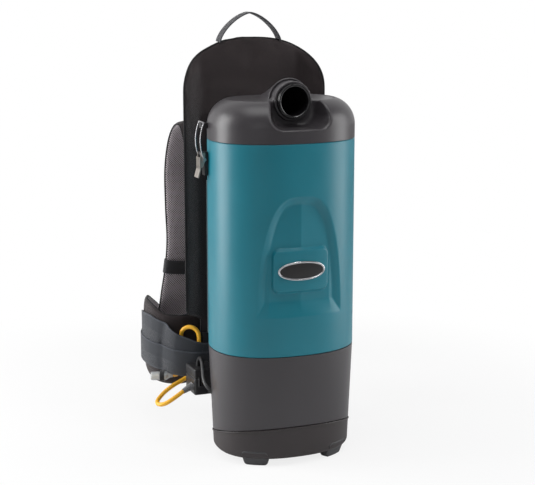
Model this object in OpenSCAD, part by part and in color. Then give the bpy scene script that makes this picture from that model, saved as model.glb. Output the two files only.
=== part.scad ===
// Backpack vacuum cleaner: tank, lid, motor section and worn harness.
// The model stands on its feet. The hose inlet faces -Y and the wearer stands at +Y.

/* [Tank] */
// Width of the tank
body_w = 264; // [256:1:272]
// Depth of the tank from front to back
body_d = 204; // [198:1:210]
// Power of the superellipse section of the body
section_power = 2.3; // [2.1:0.1:2.6]
// Height of the tank between its two seams
tank_h = 375; // [360:1:390]
// Wall of the moulded shells
wall = 3; // [2.5:0.1:3.5]
// Height of the spigot that locates the lid
spigot_h = 8; // [5:0.5:10]
// Depth of the arch recess in the front
recess_depth = 5; // [3:0.5:6]
// Width of the arch recess at its foot
recess_w = 160; // [140:1:170]
// Height of the arch recess
recess_h = 211; // [190:1:225]
// Length of the oval badge
badge_l = 88; // [70:1:96]
// Height of the oval badge
badge_h = 34; // [26:1:40]
// Thickness of the oval badge
badge_t = 2.5; // [1.5:0.5:4]

/* [Base] */
// Gap between the floor and the base cap
foot_h = 14; // [10:1:18]
// Width of one foot
foot_w = 48; // [38:1:52]
// Height of the tank seam above the floor
housing_top = 203; // [198:1:212]
// Height of the base seam on the tank axis
base_seam_h = 49.5; // [47:0.5:53]
// Angle of the base seam, high at the front
base_tilt = 12.8; // [10:0.1:14]
// How much narrower the base is than the tank
base_inset = 18; // [12:1:22]
// Rounding of the base's lower edge
base_round = 9; // [5:1:12]
// Diameter of the base screws
screw_d = 4; // [3:0.5:5]
// Length of the exhaust slots
slot_l = 56; // [40:1:66]
// Width of the exhaust slots
slot_w = 5; // [4:0.5:6]

/* [Lid] */
// Height of the lid's dome
lid_h = 72; // [68:1:74]
// Height of the lid's straight skirt
skirt_h = 24; // [18:1:26]
// Height of the inlet axis above the tank
inlet_h = 69; // [68:0.5:71]
// Bore of the hose inlet collar
inlet_bore = 49; // [46:0.5:50]
// Wall of the inlet collar
inlet_wall = 2.5; // [2:0.5:3]
// Wall of the bushing that holds the collar
bushing_wall = 3.5; // [3:0.5:4]
// Outer diameter of the hood round the inlet
hood_d = 73; // [72:1:76]
// How far the hood's rim lies in front of the tank axis
hood_reach = 36; // [32:1:40]
// Outer diameter of the neck under the hood
neck_d = 69; // [68:1:70]
// How far the neck's face lies in front of the tank axis
neck_reach = 57; // [54:1:60]
// How far the collar stands out of the neck
collar_out = 8; // [7:0.5:12]
// Length of the collar inside the bushing
collar_in = 22; // [18:1:24]
// Bend radius of the inlet elbow
elbow_r = 36; // [34:1:38]
// Radius of the corners of the scoop round the inlet
scoop_r = 30; // [26:1:32]
// Width of the scoop
scoop_w = 118; // [112:1:122]
// Height of the scoop's floor above the tank
scoop_h = 24; // [22:1:28]
// Depth of the scoop behind the lid's front
scoop_l = 52; // [48:1:54]

/* [Motor] */
// Diameter of the motor shaft
shaft_d = 10; // [8:0.5:12]
// Diameter of the field can
can_d = 112; // [100:1:120]
// Diameter of the fan shroud
shroud_d = 142; // [136:1:148]
// Diameter of the impellers
impeller_d = 126; // [110:1:130]
// Diameter of the armature
armature_d = 56; // [46:1:60]

/* [Latch] */
// Place of the latches behind the tank's middle
latch_y = 25; // [18:1:30]
// Distance from the tank seam down to the lever pin
latch_drop = 26; // [24:1:28]
// Length of the latch lever
lever_l = 42; // [36:1:44]
// Width of the latch lever
lever_w = 21; // [20:1:23]
// Length of the wire bail
bail_l = 65; // [62:1:68]
// Diameter of the bail wire
wire_d = 3; // [2.5:0.5:3.5]
// Diameter of the lever pin
pin_d = 4; // [3.5:0.5:4.5]

/* [Harness] */
// Gap between the tank and the harness board
board_gap = 44; // [40:1:50]
// Thickness of the harness board
board_t = 8; // [6:1:10]
// Width of the harness board
board_w = 168; // [150:1:180]
// Width of the back pad
pad_w = 276; // [266:1:286]
// Height of the back pad's top edge
pad_top = 745; // [738:1:750]
// Height of the back pad's rounded top
pad_round = 98; // [80:1:110]
// Crowned thickness of the back pad
pad_t = 24; // [20:1:28]
// How far the back pad's side edges curl forward round the tank
pad_curl = 36; // [20:1:40]
// Height of the carry handle over the pad's shoulder
handle_h = 53; // [46:1:60]
// Span of the carry handle
handle_span = 126; // [110:1:140]
// Width of the shoulder straps
strap_w = 62; // [54:1:68]
// Thickness of the shoulder straps
strap_t = 14; // [11:1:16]
// Height of the hip wings
wing_h = 144; // [130:1:150]
// Thickness of the hip wings
wing_t = 16; // [12:1:18]
// Width of the belt webbing
belt_w = 50; // [44:1:50]
// Width of the narrow webbing of the handle and the straps
narrow_w = 25; // [20:1:26]
// Thickness of all webbing
webbing_t = 2.4; // [2:0.2:2.6]

/* [Electrics] */
// Width of the switch box
box_w = 44; // [40:1:46]
// Depth of the switch box
box_d = 54; // [48:1:56]
// Height of the switch box
box_h = 50; // [44:1:52]
// Diameter of the power cord
cord_d = 8; // [7:0.5:9]
// Diameter of the motor lead
lead_d = 8; // [7:0.5:9]

/* [Fits] */
// Radial clearance of pins, shafts and turning rings
running = 0.05; // [0.03:0.01:0.08]
// Clearance between soft pieces and what they lie against
ease = 0.3; // [0.25:0.05:0.4]

/* [Hidden] */

TEAL = [0.17, 0.50, 0.55];
CHARCOAL = [0.27, 0.27, 0.28];
BASE_BLACK = [0.22, 0.20, 0.20];
FABRIC = [0.20, 0.17, 0.18];
WEBBING = [0.23, 0.24, 0.26];
MESH_GREY = [0.45, 0.42, 0.44];
SILVER = [0.68, 0.68, 0.70];
YELLOW = [0.96, 0.73, 0.20];
CLEAR = [0.85, 0.87, 0.88, 0.6];
COPPER = [0.72, 0.42, 0.25];
RUBBER = [0.12, 0.12, 0.12];
CARD = [0.72, 0.58, 0.40];
PAPER = [0.86, 0.80, 0.68];
FILTER_WHITE = [0.9, 0.9, 0.88];

// Numbers of sides
SMOOTH = 64;
SECTION_SIDES = 64;
HULL_SIDES = 28;

half_w = body_w / 2;
half_d = body_d / 2;
base_half_w = half_w - base_inset / 2;
base_half_d = base_half_w * half_d / half_w;
tank_top = housing_top + tank_h;
inlet_z = tank_top + inlet_h;

// The harness stack behind the tank
board_y = half_d + board_gap;
pad_y = board_y + board_t + 3;
pad_back = pad_y + pad_t;
lumbar_t = 20;
lumbar_back = pad_back + ease + lumbar_t;
waist_z = 157;
belt_back = lumbar_back + 148;
buckle_t = 14;

// The object is centred on its box: the tank's front and the buckle's back are its ends
rear_reach = belt_back + buckle_t / 2;
tank_y = (half_d - rear_reach) / 2;

// Stack inside the motor housing
web_z = housing_top - 129;
web_t = 4;
mount_h = 6;
can_z = web_z + web_t + mount_h;
can_h = 66;
can_wall = 10;
shroud_z = can_z + can_h;
shroud_h = 42;
deck_t = 6;
upper_mount_h = housing_top - shroud_z - shroud_h;
armature_h = 38;
bearing_h = 7;

// Parts hung under the lid
ledge_z = tank_top - 30;
ledge_t = 4;
rim_t = 4;
bridge_t = 4;
bridge_z = ledge_z + ledge_t + rim_t;
collar_z = bridge_z + bridge_t;
collar_t = 3;
bag_bottom = housing_top + 52;
bag_half_w = half_w - 30;
bag_half_d = half_d - 28;
spout_y = -neck_reach + collar_in + elbow_r;
spout_r = inlet_bore / 2 + inlet_wall;

// Latch mechanism, described for the left side and mirrored for the right
lever_half = lever_w / 2;
knuckle_half = lever_half - 3.5;
pin_x = -(half_w + 8);
pin_z = tank_top - latch_drop;
crank_down = 9;
bail_x = pin_x;
bail_pin_z = pin_z - crank_down;
bail_half = lever_half + 3;
bail_eye = 3;
keeper_z = bail_pin_z + bail_l - wire_d / 2 - 0.2;

// Switch box, low on the left hip
box_x = -116;
box_y = board_y - 2 * webbing_t - 5 * ease - box_d / 2;
box_z = 115;

// Route of the power cord, in the tank's own axes: a loop below the relief, then up behind
// the belt webbing, over, and down again to the plug
cord_route = [
    [-158, 93, 99], [-170, 90, 93], [-181, 89, 87], [-191, 91, 81], [-199, 97, 77], [-203, 107, 76],
    [-201, 117, 78], [-194, 125, 82], [-184, 131, 88], [-172, 136, 94], [-159, 141, 99], [-147, 146, 102],
    [-136, 151, 105], [-126, 154, 110], [-117, 155, 118], [-111, 154, 129], [-108, 152, 142],
    [-107, 151, 155], [-107, 151, 170], [-107, 151, 185], [-109, 152.3, 194], [-114.2, 156, 200.2],
    [-121.5, 161, 202.6], [-128.8, 166, 200.2], [-134, 169.7, 194], [-136, 171, 185], [-136, 171, 170],
    [-136, 171, 155], [-136, 171, 140], [-136, 171, 125], [-138.2, 171.2, 115.5], [-144, 172.1, 109.3],
    [-152, 174.3, 107]
];
// Route of the motor lead from the top of the switch box to the housing's side and in
lead_x = box_x - 6;
lead_route = [
    [lead_x, 112, 140], [lead_x, 110, 148.5], [lead_x, 104, 155], [lead_x - 0.5, 96, 158],
    [lead_x - 1.5, 87, 157.5], [7 - half_w, 78, 154.5], [5 - half_w, 70, 149.5], [3 - half_w, 62, 144],
    [1 - half_w, 54.5, 138], [-0.5 - half_w, 47, 132.5], [-0.5 - half_w, 39.5, 127],
    [2 - half_w, 32.5, 121.5], [7 - half_w, 27, 117], [13.5 - half_w, 22.5, 113.5]
];

relief_exit = cord_route[0];
relief_root = [box_x - box_w / 2 - 0.05, 97, 107];
relief_axis = unit(relief_root - relief_exit);
lead_entry = lead_route[len(lead_route) - 1];
lead_axis = unit(lead_entry - lead_route[len(lead_route) - 2]);

// ---------- points along curves ----------

function unit(v) = v / norm(v);
function middle(points) = [for (k = [0:2]) [for (p = points) p[k]] * [for (p = points) 1] / len(points)];

function spline_at(a, b, c, d, t) =
    0.5 * (2 * b + (c - a) * t + (2 * a - 5 * b + 4 * c - d) * t * t + (3 * b - a - 3 * c + d) * t * t * t);

function spline(p, steps) =
    let (last = len(p) - 1)
    concat(
        [for (i = [0:last - 1]) for (k = [0:steps - 1])
            spline_at(
                i == 0 ? 2 * p[0] - p[1] : p[i - 1],
                p[i],
                p[i + 1],
                i + 2 > last ? 2 * p[last] - p[last - 1] : p[i + 2],
                k / steps)],
        [p[last]]
    );

function tangent(p, i) = unit(p[min(i + 1, len(p) - 1)] - p[max(i - 1, 0)]);

// A point of a superellipse with half sizes a and b
function squircle(a, b, power, angle) = [
    a * sign(cos(angle)) * pow(abs(cos(angle)), 2 / power),
    b * sign(sin(angle)) * pow(abs(sin(angle)), 2 / power)
];

function section_points(a, b, sides = SECTION_SIDES) =
    [for (i = [0:sides - 1]) squircle(a, b, section_power, 360 * i / sides)];

// One ring of a swept pad: w across, t thick, about point p
function pad_ring(p, across, out, w, t, sides) =
    [for (i = [0:sides - 1])
        let (q = squircle(w / 2, t / 2, 3, 360 * (i + 0.5) / sides))
        p + q[0] * across + q[1] * out];

// One ring of a flat strap, seen along its path
function strap_ring(p, across, out, w, t) = [
    p + across * w / 2 - out * t / 2,
    p + across * w / 2 + out * t / 2,
    p - across * w / 2 + out * t / 2,
    p - across * w / 2 - out * t / 2
];

// ---------- shared shapes ----------

// Puts a sub-part that is drawn about the tank's axis into the object's frame
module on_tank_axis() {
    translate([0, tank_y, 0]) children();
}

// The same shape on both sides
module both_sides() {
    children();
    mirror([1, 0, 0]) children();
}

// A latch part on the right: each is alike front and back, so half a turn gives the mirror image
module on_right() {
    translate([0, 2 * latch_y, 0]) rotate([0, 0, 180]) children();
}

// A closed skin over rings of points, each ring turning from across to out
module skin(rings) {
    n = len(rings[0]);
    m = len(rings);
    points = concat([for (r = rings) each r], [middle(rings[0]), middle(rings[m - 1])]);
    sides = [for (i = [0:m - 2]) for (j = [0:n - 1])
        let (a = i * n + j, b = i * n + (j + 1) % n, c = (i + 1) * n + (j + 1) % n, d = (i + 1) * n + j)
        each [[a, c, b], [a, d, c]]];
    start_cap = [for (j = [0:n - 1]) [m * n, j, (j + 1) % n]];
    end_cap = [for (j = [0:n - 1]) [m * n + 1, (m - 1) * n + (j + 1) % n, (m - 1) * n + j]];
    polyhedron(points = points, faces = concat(sides, start_cap, end_cap), convexity = 8);
}

// A body section, drawn flat
module section(inset = 0) {
    polygon(section_points(half_w - inset, half_d - inset));
}

module prism(z, h, inset = 0) {
    translate([0, 0, z]) linear_extrude(height = h) section(inset);
}

// A round tube along +Z
module tube(h, outer_r, inner_r) {
    difference() {
        cylinder(h = h, r = outer_r, $fn = SMOOTH);
        translate([0, 0, -1]) cylinder(h = h + 2, r = inner_r, $fn = SMOOTH);
    }
}

// A cylinder along Y from y to y + l
module rod_y(x, y, z, l, r) {
    translate([x, y, z]) rotate([-90, 0, 0]) cylinder(h = l, r = r, $fn = SMOOTH);
}

// A tube swept along points, with flat ends
module swept_tube(path, d, sides) {
    skin([for (i = [0:len(path) - 1])
        let (
            t = tangent(path, i),
            side = norm(cross([0, 0, 1], t)) > 0.3 ? unit(cross([0, 0, 1], t)) : unit(cross([0, 1, 0], t)),
            up = cross(t, side)
        )
        [for (k = [0:sides - 1]) path[i] + d / 2 * (cos(360 * k / sides) * side + sin(360 * k / sides) * up)]]);
}

// A cylinder between two points
module rod_between(a, b, r) {
    v = b - a;
    translate(a)
        rotate([0, acos(v[2] / norm(v)), atan2(v[1], v[0])])
            cylinder(h = norm(v), r = r, $fn = SMOOTH);
}

// ---------- tank ----------

recess_z = housing_top + 72;
badge_z = recess_z + 81;
recess_steps = 3;
recess_edge = 15;

function recess_outline(w, h) = concat(
    [[-w / 2, 0], [w / 2, 0], [w * 0.475, h * 0.29], [w * 0.43, h * 0.58], [w * 0.36, h * 0.8]],
    [for (a = [40:20:140]) [w * 0.36 * cos(a) / cos(20), h * (0.8 + 0.2 * sin(a))]],
    [[-w * 0.36, h * 0.8], [-w * 0.43, h * 0.58], [-w * 0.475, h * 0.29]]
);

// What lies between two depths under the tank's front, inside a flat outline drawn at a height
module front_layer(z, shallow, deep) {
    intersection() {
        difference() {
            prism(housing_top, tank_h, shallow);
            translate([0, 0, -1]) prism(housing_top, tank_h + 2, deep);
        }
        translate([0, 0, z]) rotate([90, 0, 0]) linear_extrude(height = body_d) children();
    }
}

module tank() color(TEAL) on_tank_axis() {
    difference() {
        union() {
            difference() {
                prism(housing_top, tank_h);
                translate([0, 0, -1]) prism(housing_top, tank_h + 2, wall);
            }
            // Inner wall behind the recess
            front_layer(recess_z - wall, wall / 2, recess_depth + wall)
                translate([0, recess_h / 2 + wall])
                    square([recess_w + 2 * wall, recess_h + 2 * wall], center = true);
            // Spigot that the lid sits round
            difference() {
                prism(tank_top - 6, 6 + spigot_h, wall);
                translate([0, 0, -1]) prism(tank_top - 6, 8 + spigot_h, 2 * wall);
            }
            // Ledge for the cloth filter
            difference() {
                prism(ledge_z, ledge_t, wall / 2);
                translate([0, 0, -1]) prism(ledge_z, ledge_t + 2, wall + 7);
            }
        }
        // Arch recess, stepping in to its floor
        for (i = [1:recess_steps]) {
            front_layer(recess_z + recess_edge * (i - 1) / recess_steps, -1, recess_depth * i / recess_steps)
                polygon(recess_outline(
                    recess_w - 2 * recess_edge * (i - 1) / recess_steps,
                    recess_h - 2 * recess_edge * (i - 1) / recess_steps));
        }
    }
    // Raised pad that carries the badge
    front_layer(badge_z, badge_t, recess_depth + wall / 2)
        square([badge_l + 12, badge_h + 44], center = true);
}

// Blank oval plate
module badge() color(SILVER) on_tank_axis() {
    front_layer(badge_z, 0, badge_t) polygon(section_points(badge_l / 2, badge_h / 2));
}

// Narrow strips down the rear corners of the tank
module tank_trim() color(SILVER) on_tank_axis() both_sides() {
    trim_depth = 10;
    intersection() {
        difference() {
            prism(housing_top + 20, tank_h - 96, -1.6);
            prism(housing_top + 19, tank_h - 94);
        }
        translate([-half_w - 5, latch_y + 10, housing_top]) cube([40, trim_depth, tank_h]);
    }
}

// ---------- base ----------

module base_plane(above) {
    big = 400;
    translate([0, 0, base_seam_h])
        rotate([-base_tilt, 0, 0])
            translate([-big / 2, -big / 2, above ? 0 : -big]) cube([big, big, big]);
}

function base_ring(z, inset) =
    let (
        rise = (z - foot_h) / (housing_top - foot_h),
        round_in = z < foot_h + base_round
            ? base_round * (1 - sqrt(1 - pow(1 - (z - foot_h) / base_round, 2)))
            : 0,
        a = base_half_w + (half_w - base_half_w) * rise - inset - round_in
    )
    [for (q = section_points(a, a * half_d / half_w)) [q[0], q[1], z]];

// Tapered body between two heights
module base_body(bottom, top, inset) {
    curve = [0, 0.12, 0.35, 0.65, 1];
    heights = bottom < foot_h + base_round
        ? concat([for (c = curve) bottom + c * (foot_h + base_round - bottom)], [top])
        : [bottom, top];
    skin([for (z = heights) base_ring(z, inset)]);
}

boss_h = 8;
pillar_z = foot_h + wall + boss_h;
// How far out the base screws stand, as a share of the base
screw_spread = 0.56;

module motor_housing() color(CHARCOAL) on_tank_axis() {
    web_hole_r = 9;
    web_hole_out = 40;
    difference() {
        union() {
            intersection() {
                difference() {
                    base_body(foot_h, housing_top, 0);
                    base_body(foot_h + wall, housing_top + 1, wall);
                }
                base_plane(true);
            }
            // Web that carries the motor
            intersection() {
                base_body(foot_h, housing_top, wall / 2);
                translate([-half_w, -half_w, web_z]) cube([body_w, body_w, web_t]);
            }
            // Ledge under the motor deck
            difference() {
                prism(housing_top - 4, 4, wall / 2);
                translate([0, 0, -1]) prism(housing_top - 4, 6, wall + 6);
            }
            // Pillars that take the base screws
            screw_places() translate([0, 0, pillar_z])
                cylinder(h = web_z - pillar_z + 1, r = screw_d / 2 + 3, $fn = SMOOTH);
        }
        // Air holes through the web, and the hole for the lead
        for (a = [0:45:315]) {
            rotate([0, 0, a]) translate([web_hole_out, 0, web_z - 1])
                cylinder(h = web_t + 2, r = web_hole_r, $fn = SMOOTH);
        }
        translate([0, 0, web_z - 1]) cylinder(h = web_t + 2, r = shaft_d, $fn = SMOOTH);
        screw_places() translate([0, 0, pillar_z - 1]) cylinder(h = 20, r = screw_d / 2 + ease, $fn = SMOOTH);
        rod_between(lead_entry - 14 * lead_axis, lead_entry + 14 * lead_axis, lead_d / 2 + 2.5);
    }
}

module base_cap() color(BASE_BLACK) on_tank_axis() {
    slots = 9;
    pitch = 2.4 * slot_w;
    difference() {
        intersection() {
            difference() {
                base_body(foot_h, housing_top, 0);
                base_body(foot_h + wall, housing_top + 1, wall);
            }
            base_plane(false);
        }
        for (i = [0:slots - 1]) {
            translate([-slot_l / 2, (i - (slots - 1) / 2) * pitch - slot_w / 2, foot_h - 1])
                cube([slot_l, slot_w, wall + 2]);
        }
        screw_places() translate([0, 0, foot_h - 1])
            cylinder(h = wall + 2, r = screw_d / 2 + ease, $fn = SMOOTH);
    }
    // Bosses round the screws
    screw_places() translate([0, 0, foot_h + wall]) tube(boss_h, screw_d / 2 + 3, screw_d / 2 + ease);
}

module screw_places() {
    for (x = [-1, 1]) for (y = [-1, 1]) {
        translate([x * screw_spread * base_half_w, y * screw_spread * base_half_d, 0]) children();
    }
}

// Base screws, and the screws from the harness board into its brackets
module screws() color(SILVER) on_tank_axis() {
    head_h = 2.4;
    bracket_grip = 24;
    screw_places() {
        translate([0, 0, foot_h - head_h]) cylinder(h = head_h, r = screw_d, $fn = SMOOTH);
        translate([0, 0, foot_h]) cylinder(h = wall + 20, r = screw_d / 2, $fn = SMOOTH);
    }
    for (z = bracket_heights) for (x = [-1, 1]) {
        rod_y(x * bracket_screw_x, board_y + board_t, z + bracket_h / 2, head_h, screw_d);
        rod_y(x * bracket_screw_x, board_y - bracket_grip, z + bracket_h / 2,
            bracket_grip + board_t, screw_d / 2);
    }
}

// Four tabs along the outline of the base
module feet() color(CHARCOAL) on_tank_axis() both_sides() {
    foot_t = 12;
    for (side = [-1, 1]) {
        intersection() {
            difference() {
                linear_extrude(height = foot_h)
                    polygon(section_points(base_half_w - base_round, base_half_d - base_round));
                translate([0, 0, -1]) linear_extrude(height = foot_h + 2)
                    polygon(section_points(base_half_w - base_round - foot_t, base_half_d - base_round - foot_t));
            }
            translate([-base_half_w * 0.65, side * base_half_d * 0.82, foot_h / 2])
                rotate([0, 0, side * 24])
                    cube([foot_w, 60, foot_h], center = true);
        }
    }
}

// ---------- motor ----------

module motor_deck() color(BASE_BLACK) on_tank_axis() {
    eye_r = 44;
    bar_w = 3;
    bar_l = 2 * eye_r + 4;
    difference() {
        prism(housing_top, deck_t, wall + ease);
        translate([0, 0, housing_top - 1]) cylinder(h = deck_t + 2, r = eye_r, $fn = SMOOTH);
    }
    // Guard bars over the intake eye
    for (a = [0:60:120]) {
        rotate([0, 0, a]) translate([-bar_l / 2, -bar_w / 2, housing_top]) cube([bar_l, bar_w, deck_t]);
    }
}

// Rubber rings over the fan and under the motor
module motor_mounts() color(RUBBER) on_tank_axis() {
    translate([0, 0, shroud_z + shroud_h]) tube(upper_mount_h, shroud_d / 2, shroud_d / 2 - 12);
    translate([0, 0, web_z + web_t]) tube(mount_h, can_d / 2 - 2, can_d / 2 - 12);
}

module field_can() color(SILVER) on_tank_axis() translate([0, 0, can_z]) {
    plate_t = bearing_h;
    difference() {
        cylinder(h = can_h, r = can_d / 2, $fn = SMOOTH);
        translate([0, 0, plate_t]) cylinder(h = can_h - 2 * plate_t, r = armature_d / 2 + 12, $fn = SMOOTH);
        translate([0, 0, -1]) cylinder(h = can_h + 2, r = shaft_d / 2 + 8, $fn = SMOOTH);
        for (a = [0:60:300]) {
            rotate([0, 0, a]) translate([can_d / 2 - 12, 0, -1]) cylinder(h = can_h + 2, r = 5, $fn = SMOOTH);
        }
    }
    // Laminated field round the armature
    translate([0, 0, plate_t]) tube(armature_h, armature_d / 2 + 12, armature_d / 2 + 0.6);
}

module bearings() color(SILVER) on_tank_axis() {
    for (z = [can_z, can_z + can_h - bearing_h]) {
        translate([0, 0, z]) tube(bearing_h, shaft_d / 2 + 8, shaft_d / 2 + running);
    }
}

commutator_z = can_z + bearing_h + armature_h + 0.4;
commutator_h = 9;

module brushes() color(RUBBER) on_tank_axis() both_sides() {
    brush_in = shaft_d / 2 + 7.5;
    translate([brush_in, -4, commutator_z + 1])
        cube([armature_d / 2 + 12 - ease - brush_in, 8, commutator_h - 2]);
}

module fan_shroud() color(SILVER) on_tank_axis() translate([0, 0, shroud_z]) {
    difference() {
        cylinder(h = shroud_h, r = shroud_d / 2, $fn = SMOOTH);
        translate([0, 0, 3]) cylinder(h = shroud_h - 6, r = shroud_d / 2 - 3, $fn = SMOOTH);
        translate([0, 0, shroud_h - 4]) cylinder(h = 5, r = 24, $fn = SMOOTH);
        translate([0, 0, -1]) cylinder(h = 5, r = shaft_d / 2 + 1, $fn = SMOOTH);
        for (a = [0:45:315]) {
            rotate([0, 0, a]) translate([shroud_d / 2 - 12, 0, -1]) cylinder(h = 5, r = 4, $fn = SMOOTH);
        }
    }
}

module motor_shaft() color(SILVER) on_tank_axis() {
    translate([0, 0, can_z - 4]) cylinder(h = can_h + shroud_h - 4, r = shaft_d / 2, $fn = SMOOTH);
}

module armature() color(COPPER) on_tank_axis() {
    translate([0, 0, can_z + bearing_h + 0.4]) tube(armature_h - 0.8, armature_d / 2, shaft_d / 2);
}

module commutator() color(COPPER) on_tank_axis() {
    translate([0, 0, commutator_z]) tube(commutator_h, shaft_d / 2 + 7, shaft_d / 2);
}

module impellers() color(SILVER) on_tank_axis() {
    vanes = 8;
    vane_h = 7;
    disc_t = 1.6;
    for (z = [shroud_z + 6, shroud_z + 22]) translate([0, 0, z]) {
        tube(disc_t, impeller_d / 2, shaft_d / 2);
        translate([0, 0, disc_t]) tube(vane_h, 9, shaft_d / 2);
        for (i = [0:vanes - 1]) {
            rotate([0, 0, 360 * i / vanes]) translate([8.5, -1, disc_t])
                cube([impeller_d / 2 - 10, 2, vane_h]);
        }
    }
}

// ---------- filters ----------

filter_z = pillar_z + ease;
filter_h = 18;

module hepa_filter() color(FILTER_WHITE) on_tank_axis() {
    translate([0, 0, filter_z]) linear_extrude(height = filter_h)
        polygon(section_points(0.72 * base_half_w, 0.66 * base_half_d));
}

module exhaust_foam() color(RUBBER) on_tank_axis() {
    translate([0, 0, filter_z + filter_h]) linear_extrude(height = web_z - filter_z - filter_h)
        polygon(section_points(0.7 * base_half_w, 0.64 * base_half_d));
}

// A pouch with an open mouth, closed at its rounded foot
module pouch(bottom, top, a, b, t) {
    foot = [[0, 0.55], [6, 0.8], [18, 0.93], [40, 1]];
    difference() {
        skin(concat(
            [for (f = foot) ring_at(bottom + f[0], a * f[1], b * f[1])],
            [ring_at(top, a, b)]));
        skin(concat(
            [for (f = foot) ring_at(bottom + t + f[0], a * f[1] - t, b * f[1] - t)],
            [ring_at(top + 1, a - t, b - t)]));
    }
}

function ring_at(z, a, b) = [for (q = section_points(a, b, 40)) [q[0], q[1], z]];

module cloth_filter() color(FABRIC) on_tank_axis() {
    pouch(bag_bottom - 14, ledge_z + ledge_t, half_w - wall - 9, half_d - wall - 9, 1.5);
    // Moulded rim on the tank's ledge
    difference() {
        prism(ledge_z + ledge_t, rim_t, wall + ease);
        translate([0, 0, -1]) prism(ledge_z + ledge_t, rim_t + 2, wall + 10.5);
    }
}

module bag_bridge() color(BASE_BLACK) on_tank_axis() {
    vent_r = 26;
    vent_x = 82;
    difference() {
        prism(bridge_z, bridge_t, wall + ease);
        translate([0, spout_y, bridge_z - 1]) cylinder(h = bridge_t + 2, r = spout_r + 8, $fn = SMOOTH);
        for (x = [-1, 1]) {
            translate([x * vent_x, 0, bridge_z - 1]) cylinder(h = bridge_t + 2, r = vent_r, $fn = SMOOTH);
        }
    }
}

module bag_collar() color(CARD) on_tank_axis() {
    card_w = 104;
    card_d = 84;
    difference() {
        translate([-card_w / 2, spout_y - card_d / 2, collar_z]) cube([card_w, card_d, collar_t]);
        translate([0, spout_y, collar_z - 1]) cylinder(h = collar_t + 2, r = spout_r + 0.5, $fn = SMOOTH);
    }
}

module filter_bag() color(PAPER) on_tank_axis() {
    paper = 1.2;
    shoulder = 26;
    neck_r = spout_r + 6;
    outside = concat(
        bag_rings(0, shoulder),
        [for (z = [bridge_z - ease, collar_z]) neck_ring(neck_r, z)]);
    inside = concat(
        bag_rings(paper, shoulder),
        [for (z = [bridge_z - ease, collar_z]) neck_ring(neck_r - paper, z)]);
    // One skin runs up the outside, over the mouth's edge and down the inside
    skin(concat(outside, [for (i = [len(inside) - 1:-1:0]) inside[i]]));
}

function neck_ring(r, z) = [for (i = [0:39]) [r * cos(9 * i), spout_y + r * sin(9 * i), z]];

function bag_rings(t, shoulder) = [
    ring_at(bag_bottom + t, 0.6 * bag_half_w - t, 0.5 * bag_half_d - t),
    ring_at(bag_bottom + 12 + t / 2, 0.92 * bag_half_w - t, 0.9 * bag_half_d - t),
    ring_at(bag_bottom + 44, bag_half_w - t, bag_half_d - t),
    ring_at(bridge_z - 2 * shoulder, bag_half_w - t, bag_half_d - t),
    ring_at(bridge_z - shoulder / 2 - t, 0.72 * bag_half_w - t, 0.72 * bag_half_d - t)
];

// ---------- lid ----------

shoulder_r = lid_h - skirt_h;

function dome_rings(inset, drop) = concat(
    [ring_full(tank_top - drop, 0, inset)],
    [for (a = [0:15:90])
        ring_full(tank_top + skirt_h + (shoulder_r - inset) * sin(a), (shoulder_r - inset) * (1 - cos(a)), inset)]
);

function ring_full(z, shrink, inset) =
    [for (q = section_points(half_w - inset - shrink, half_d - inset - shrink)) [q[0], q[1], z]];

// Rounded tunnel that opens to the front and to the top
module scoop(grow) {
    hull() {
        for (x = [-1, 1], y = [-half_d - 10, scoop_l - half_d - scoop_r], z = [0, lid_h]) {
            translate([x * (scoop_w / 2 - scoop_r), y, tank_top + scoop_h + scoop_r + z])
                sphere(r = scoop_r + grow, $fn = HULL_SIDES);
        }
    }
}

module hood(grow) {
    hull() {
        rod_y(0, -hood_reach, inlet_z, hood_reach / 2, hood_d / 2 + grow);
        translate([0, 24, tank_top + lid_h - 22]) sphere(r = 34 + grow, $fn = HULL_SIDES);
    }
}

module lid() color(CHARCOAL) on_tank_axis() {
    bushing_r = inlet_bore / 2 + inlet_wall + running + bushing_wall;
    difference() {
        union() {
            difference() {
                skin(dome_rings(0, 0));
                scoop(0);
            }
            intersection() {
                hood(0);
                translate([0, 0, tank_top + skirt_h]) cylinder(h = 200, r = half_w, $fn = SMOOTH);
            }
            rod_y(0, -neck_reach, inlet_z, collar_in, neck_d / 2);
        }
        // Room inside the dome, kept off the scoop and the inlet's seat
        difference() {
            skin(dome_rings(wall, 1));
            scoop(wall);
            rod_y(0, -half_d, inlet_z, half_d - neck_reach + collar_in, neck_d / 2);
        }
        // Room for the elbow inside the hood
        difference() {
            hood(-wall - 1);
            translate([-50, -half_d - 50, inlet_z - 60]) cube([100, half_d + 50 - neck_reach + collar_in, 120]);
        }
        rod_y(0, -half_d - 1, inlet_z, half_d + 2 - neck_reach + collar_in, bushing_r + ease);
    }
}

module lid_gasket() color(RUBBER) on_tank_axis() {
    difference() {
        prism(tank_top + spigot_h + ease, 3, wall + ease);
        translate([0, 0, -1]) prism(tank_top + spigot_h, 6, 2 * wall);
    }
}

keeper_h = 9;
// How far the dome has drawn in at the keeper's foot
keeper_rise = max(0, keeper_z - keeper_h - tank_top - skirt_h);
keeper_inset = shoulder_r * (1 - sqrt(1 - pow(keeper_rise / shoulder_r, 2)));

// Hooks on the lid that the bails pull on
module lid_keepers() color(BASE_BLACK) on_tank_axis() both_sides() {
    difference() {
        translate([bail_x - 2.5, latch_y - knuckle_half, keeper_z - keeper_h])
            cube([30, 2 * knuckle_half, keeper_h]);
        translate([0, 0, keeper_z - keeper_h - 1])
            linear_extrude(height = keeper_h + 2) section(keeper_inset);
    }
}

module inlet_bushing() color(BASE_BLACK) on_tank_axis() {
    inner = inlet_bore / 2 + inlet_wall + running;
    translate([0, -neck_reach, inlet_z]) rotate([-90, 0, 0])
        tube(collar_in, inner + bushing_wall, inner);
}

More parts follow.
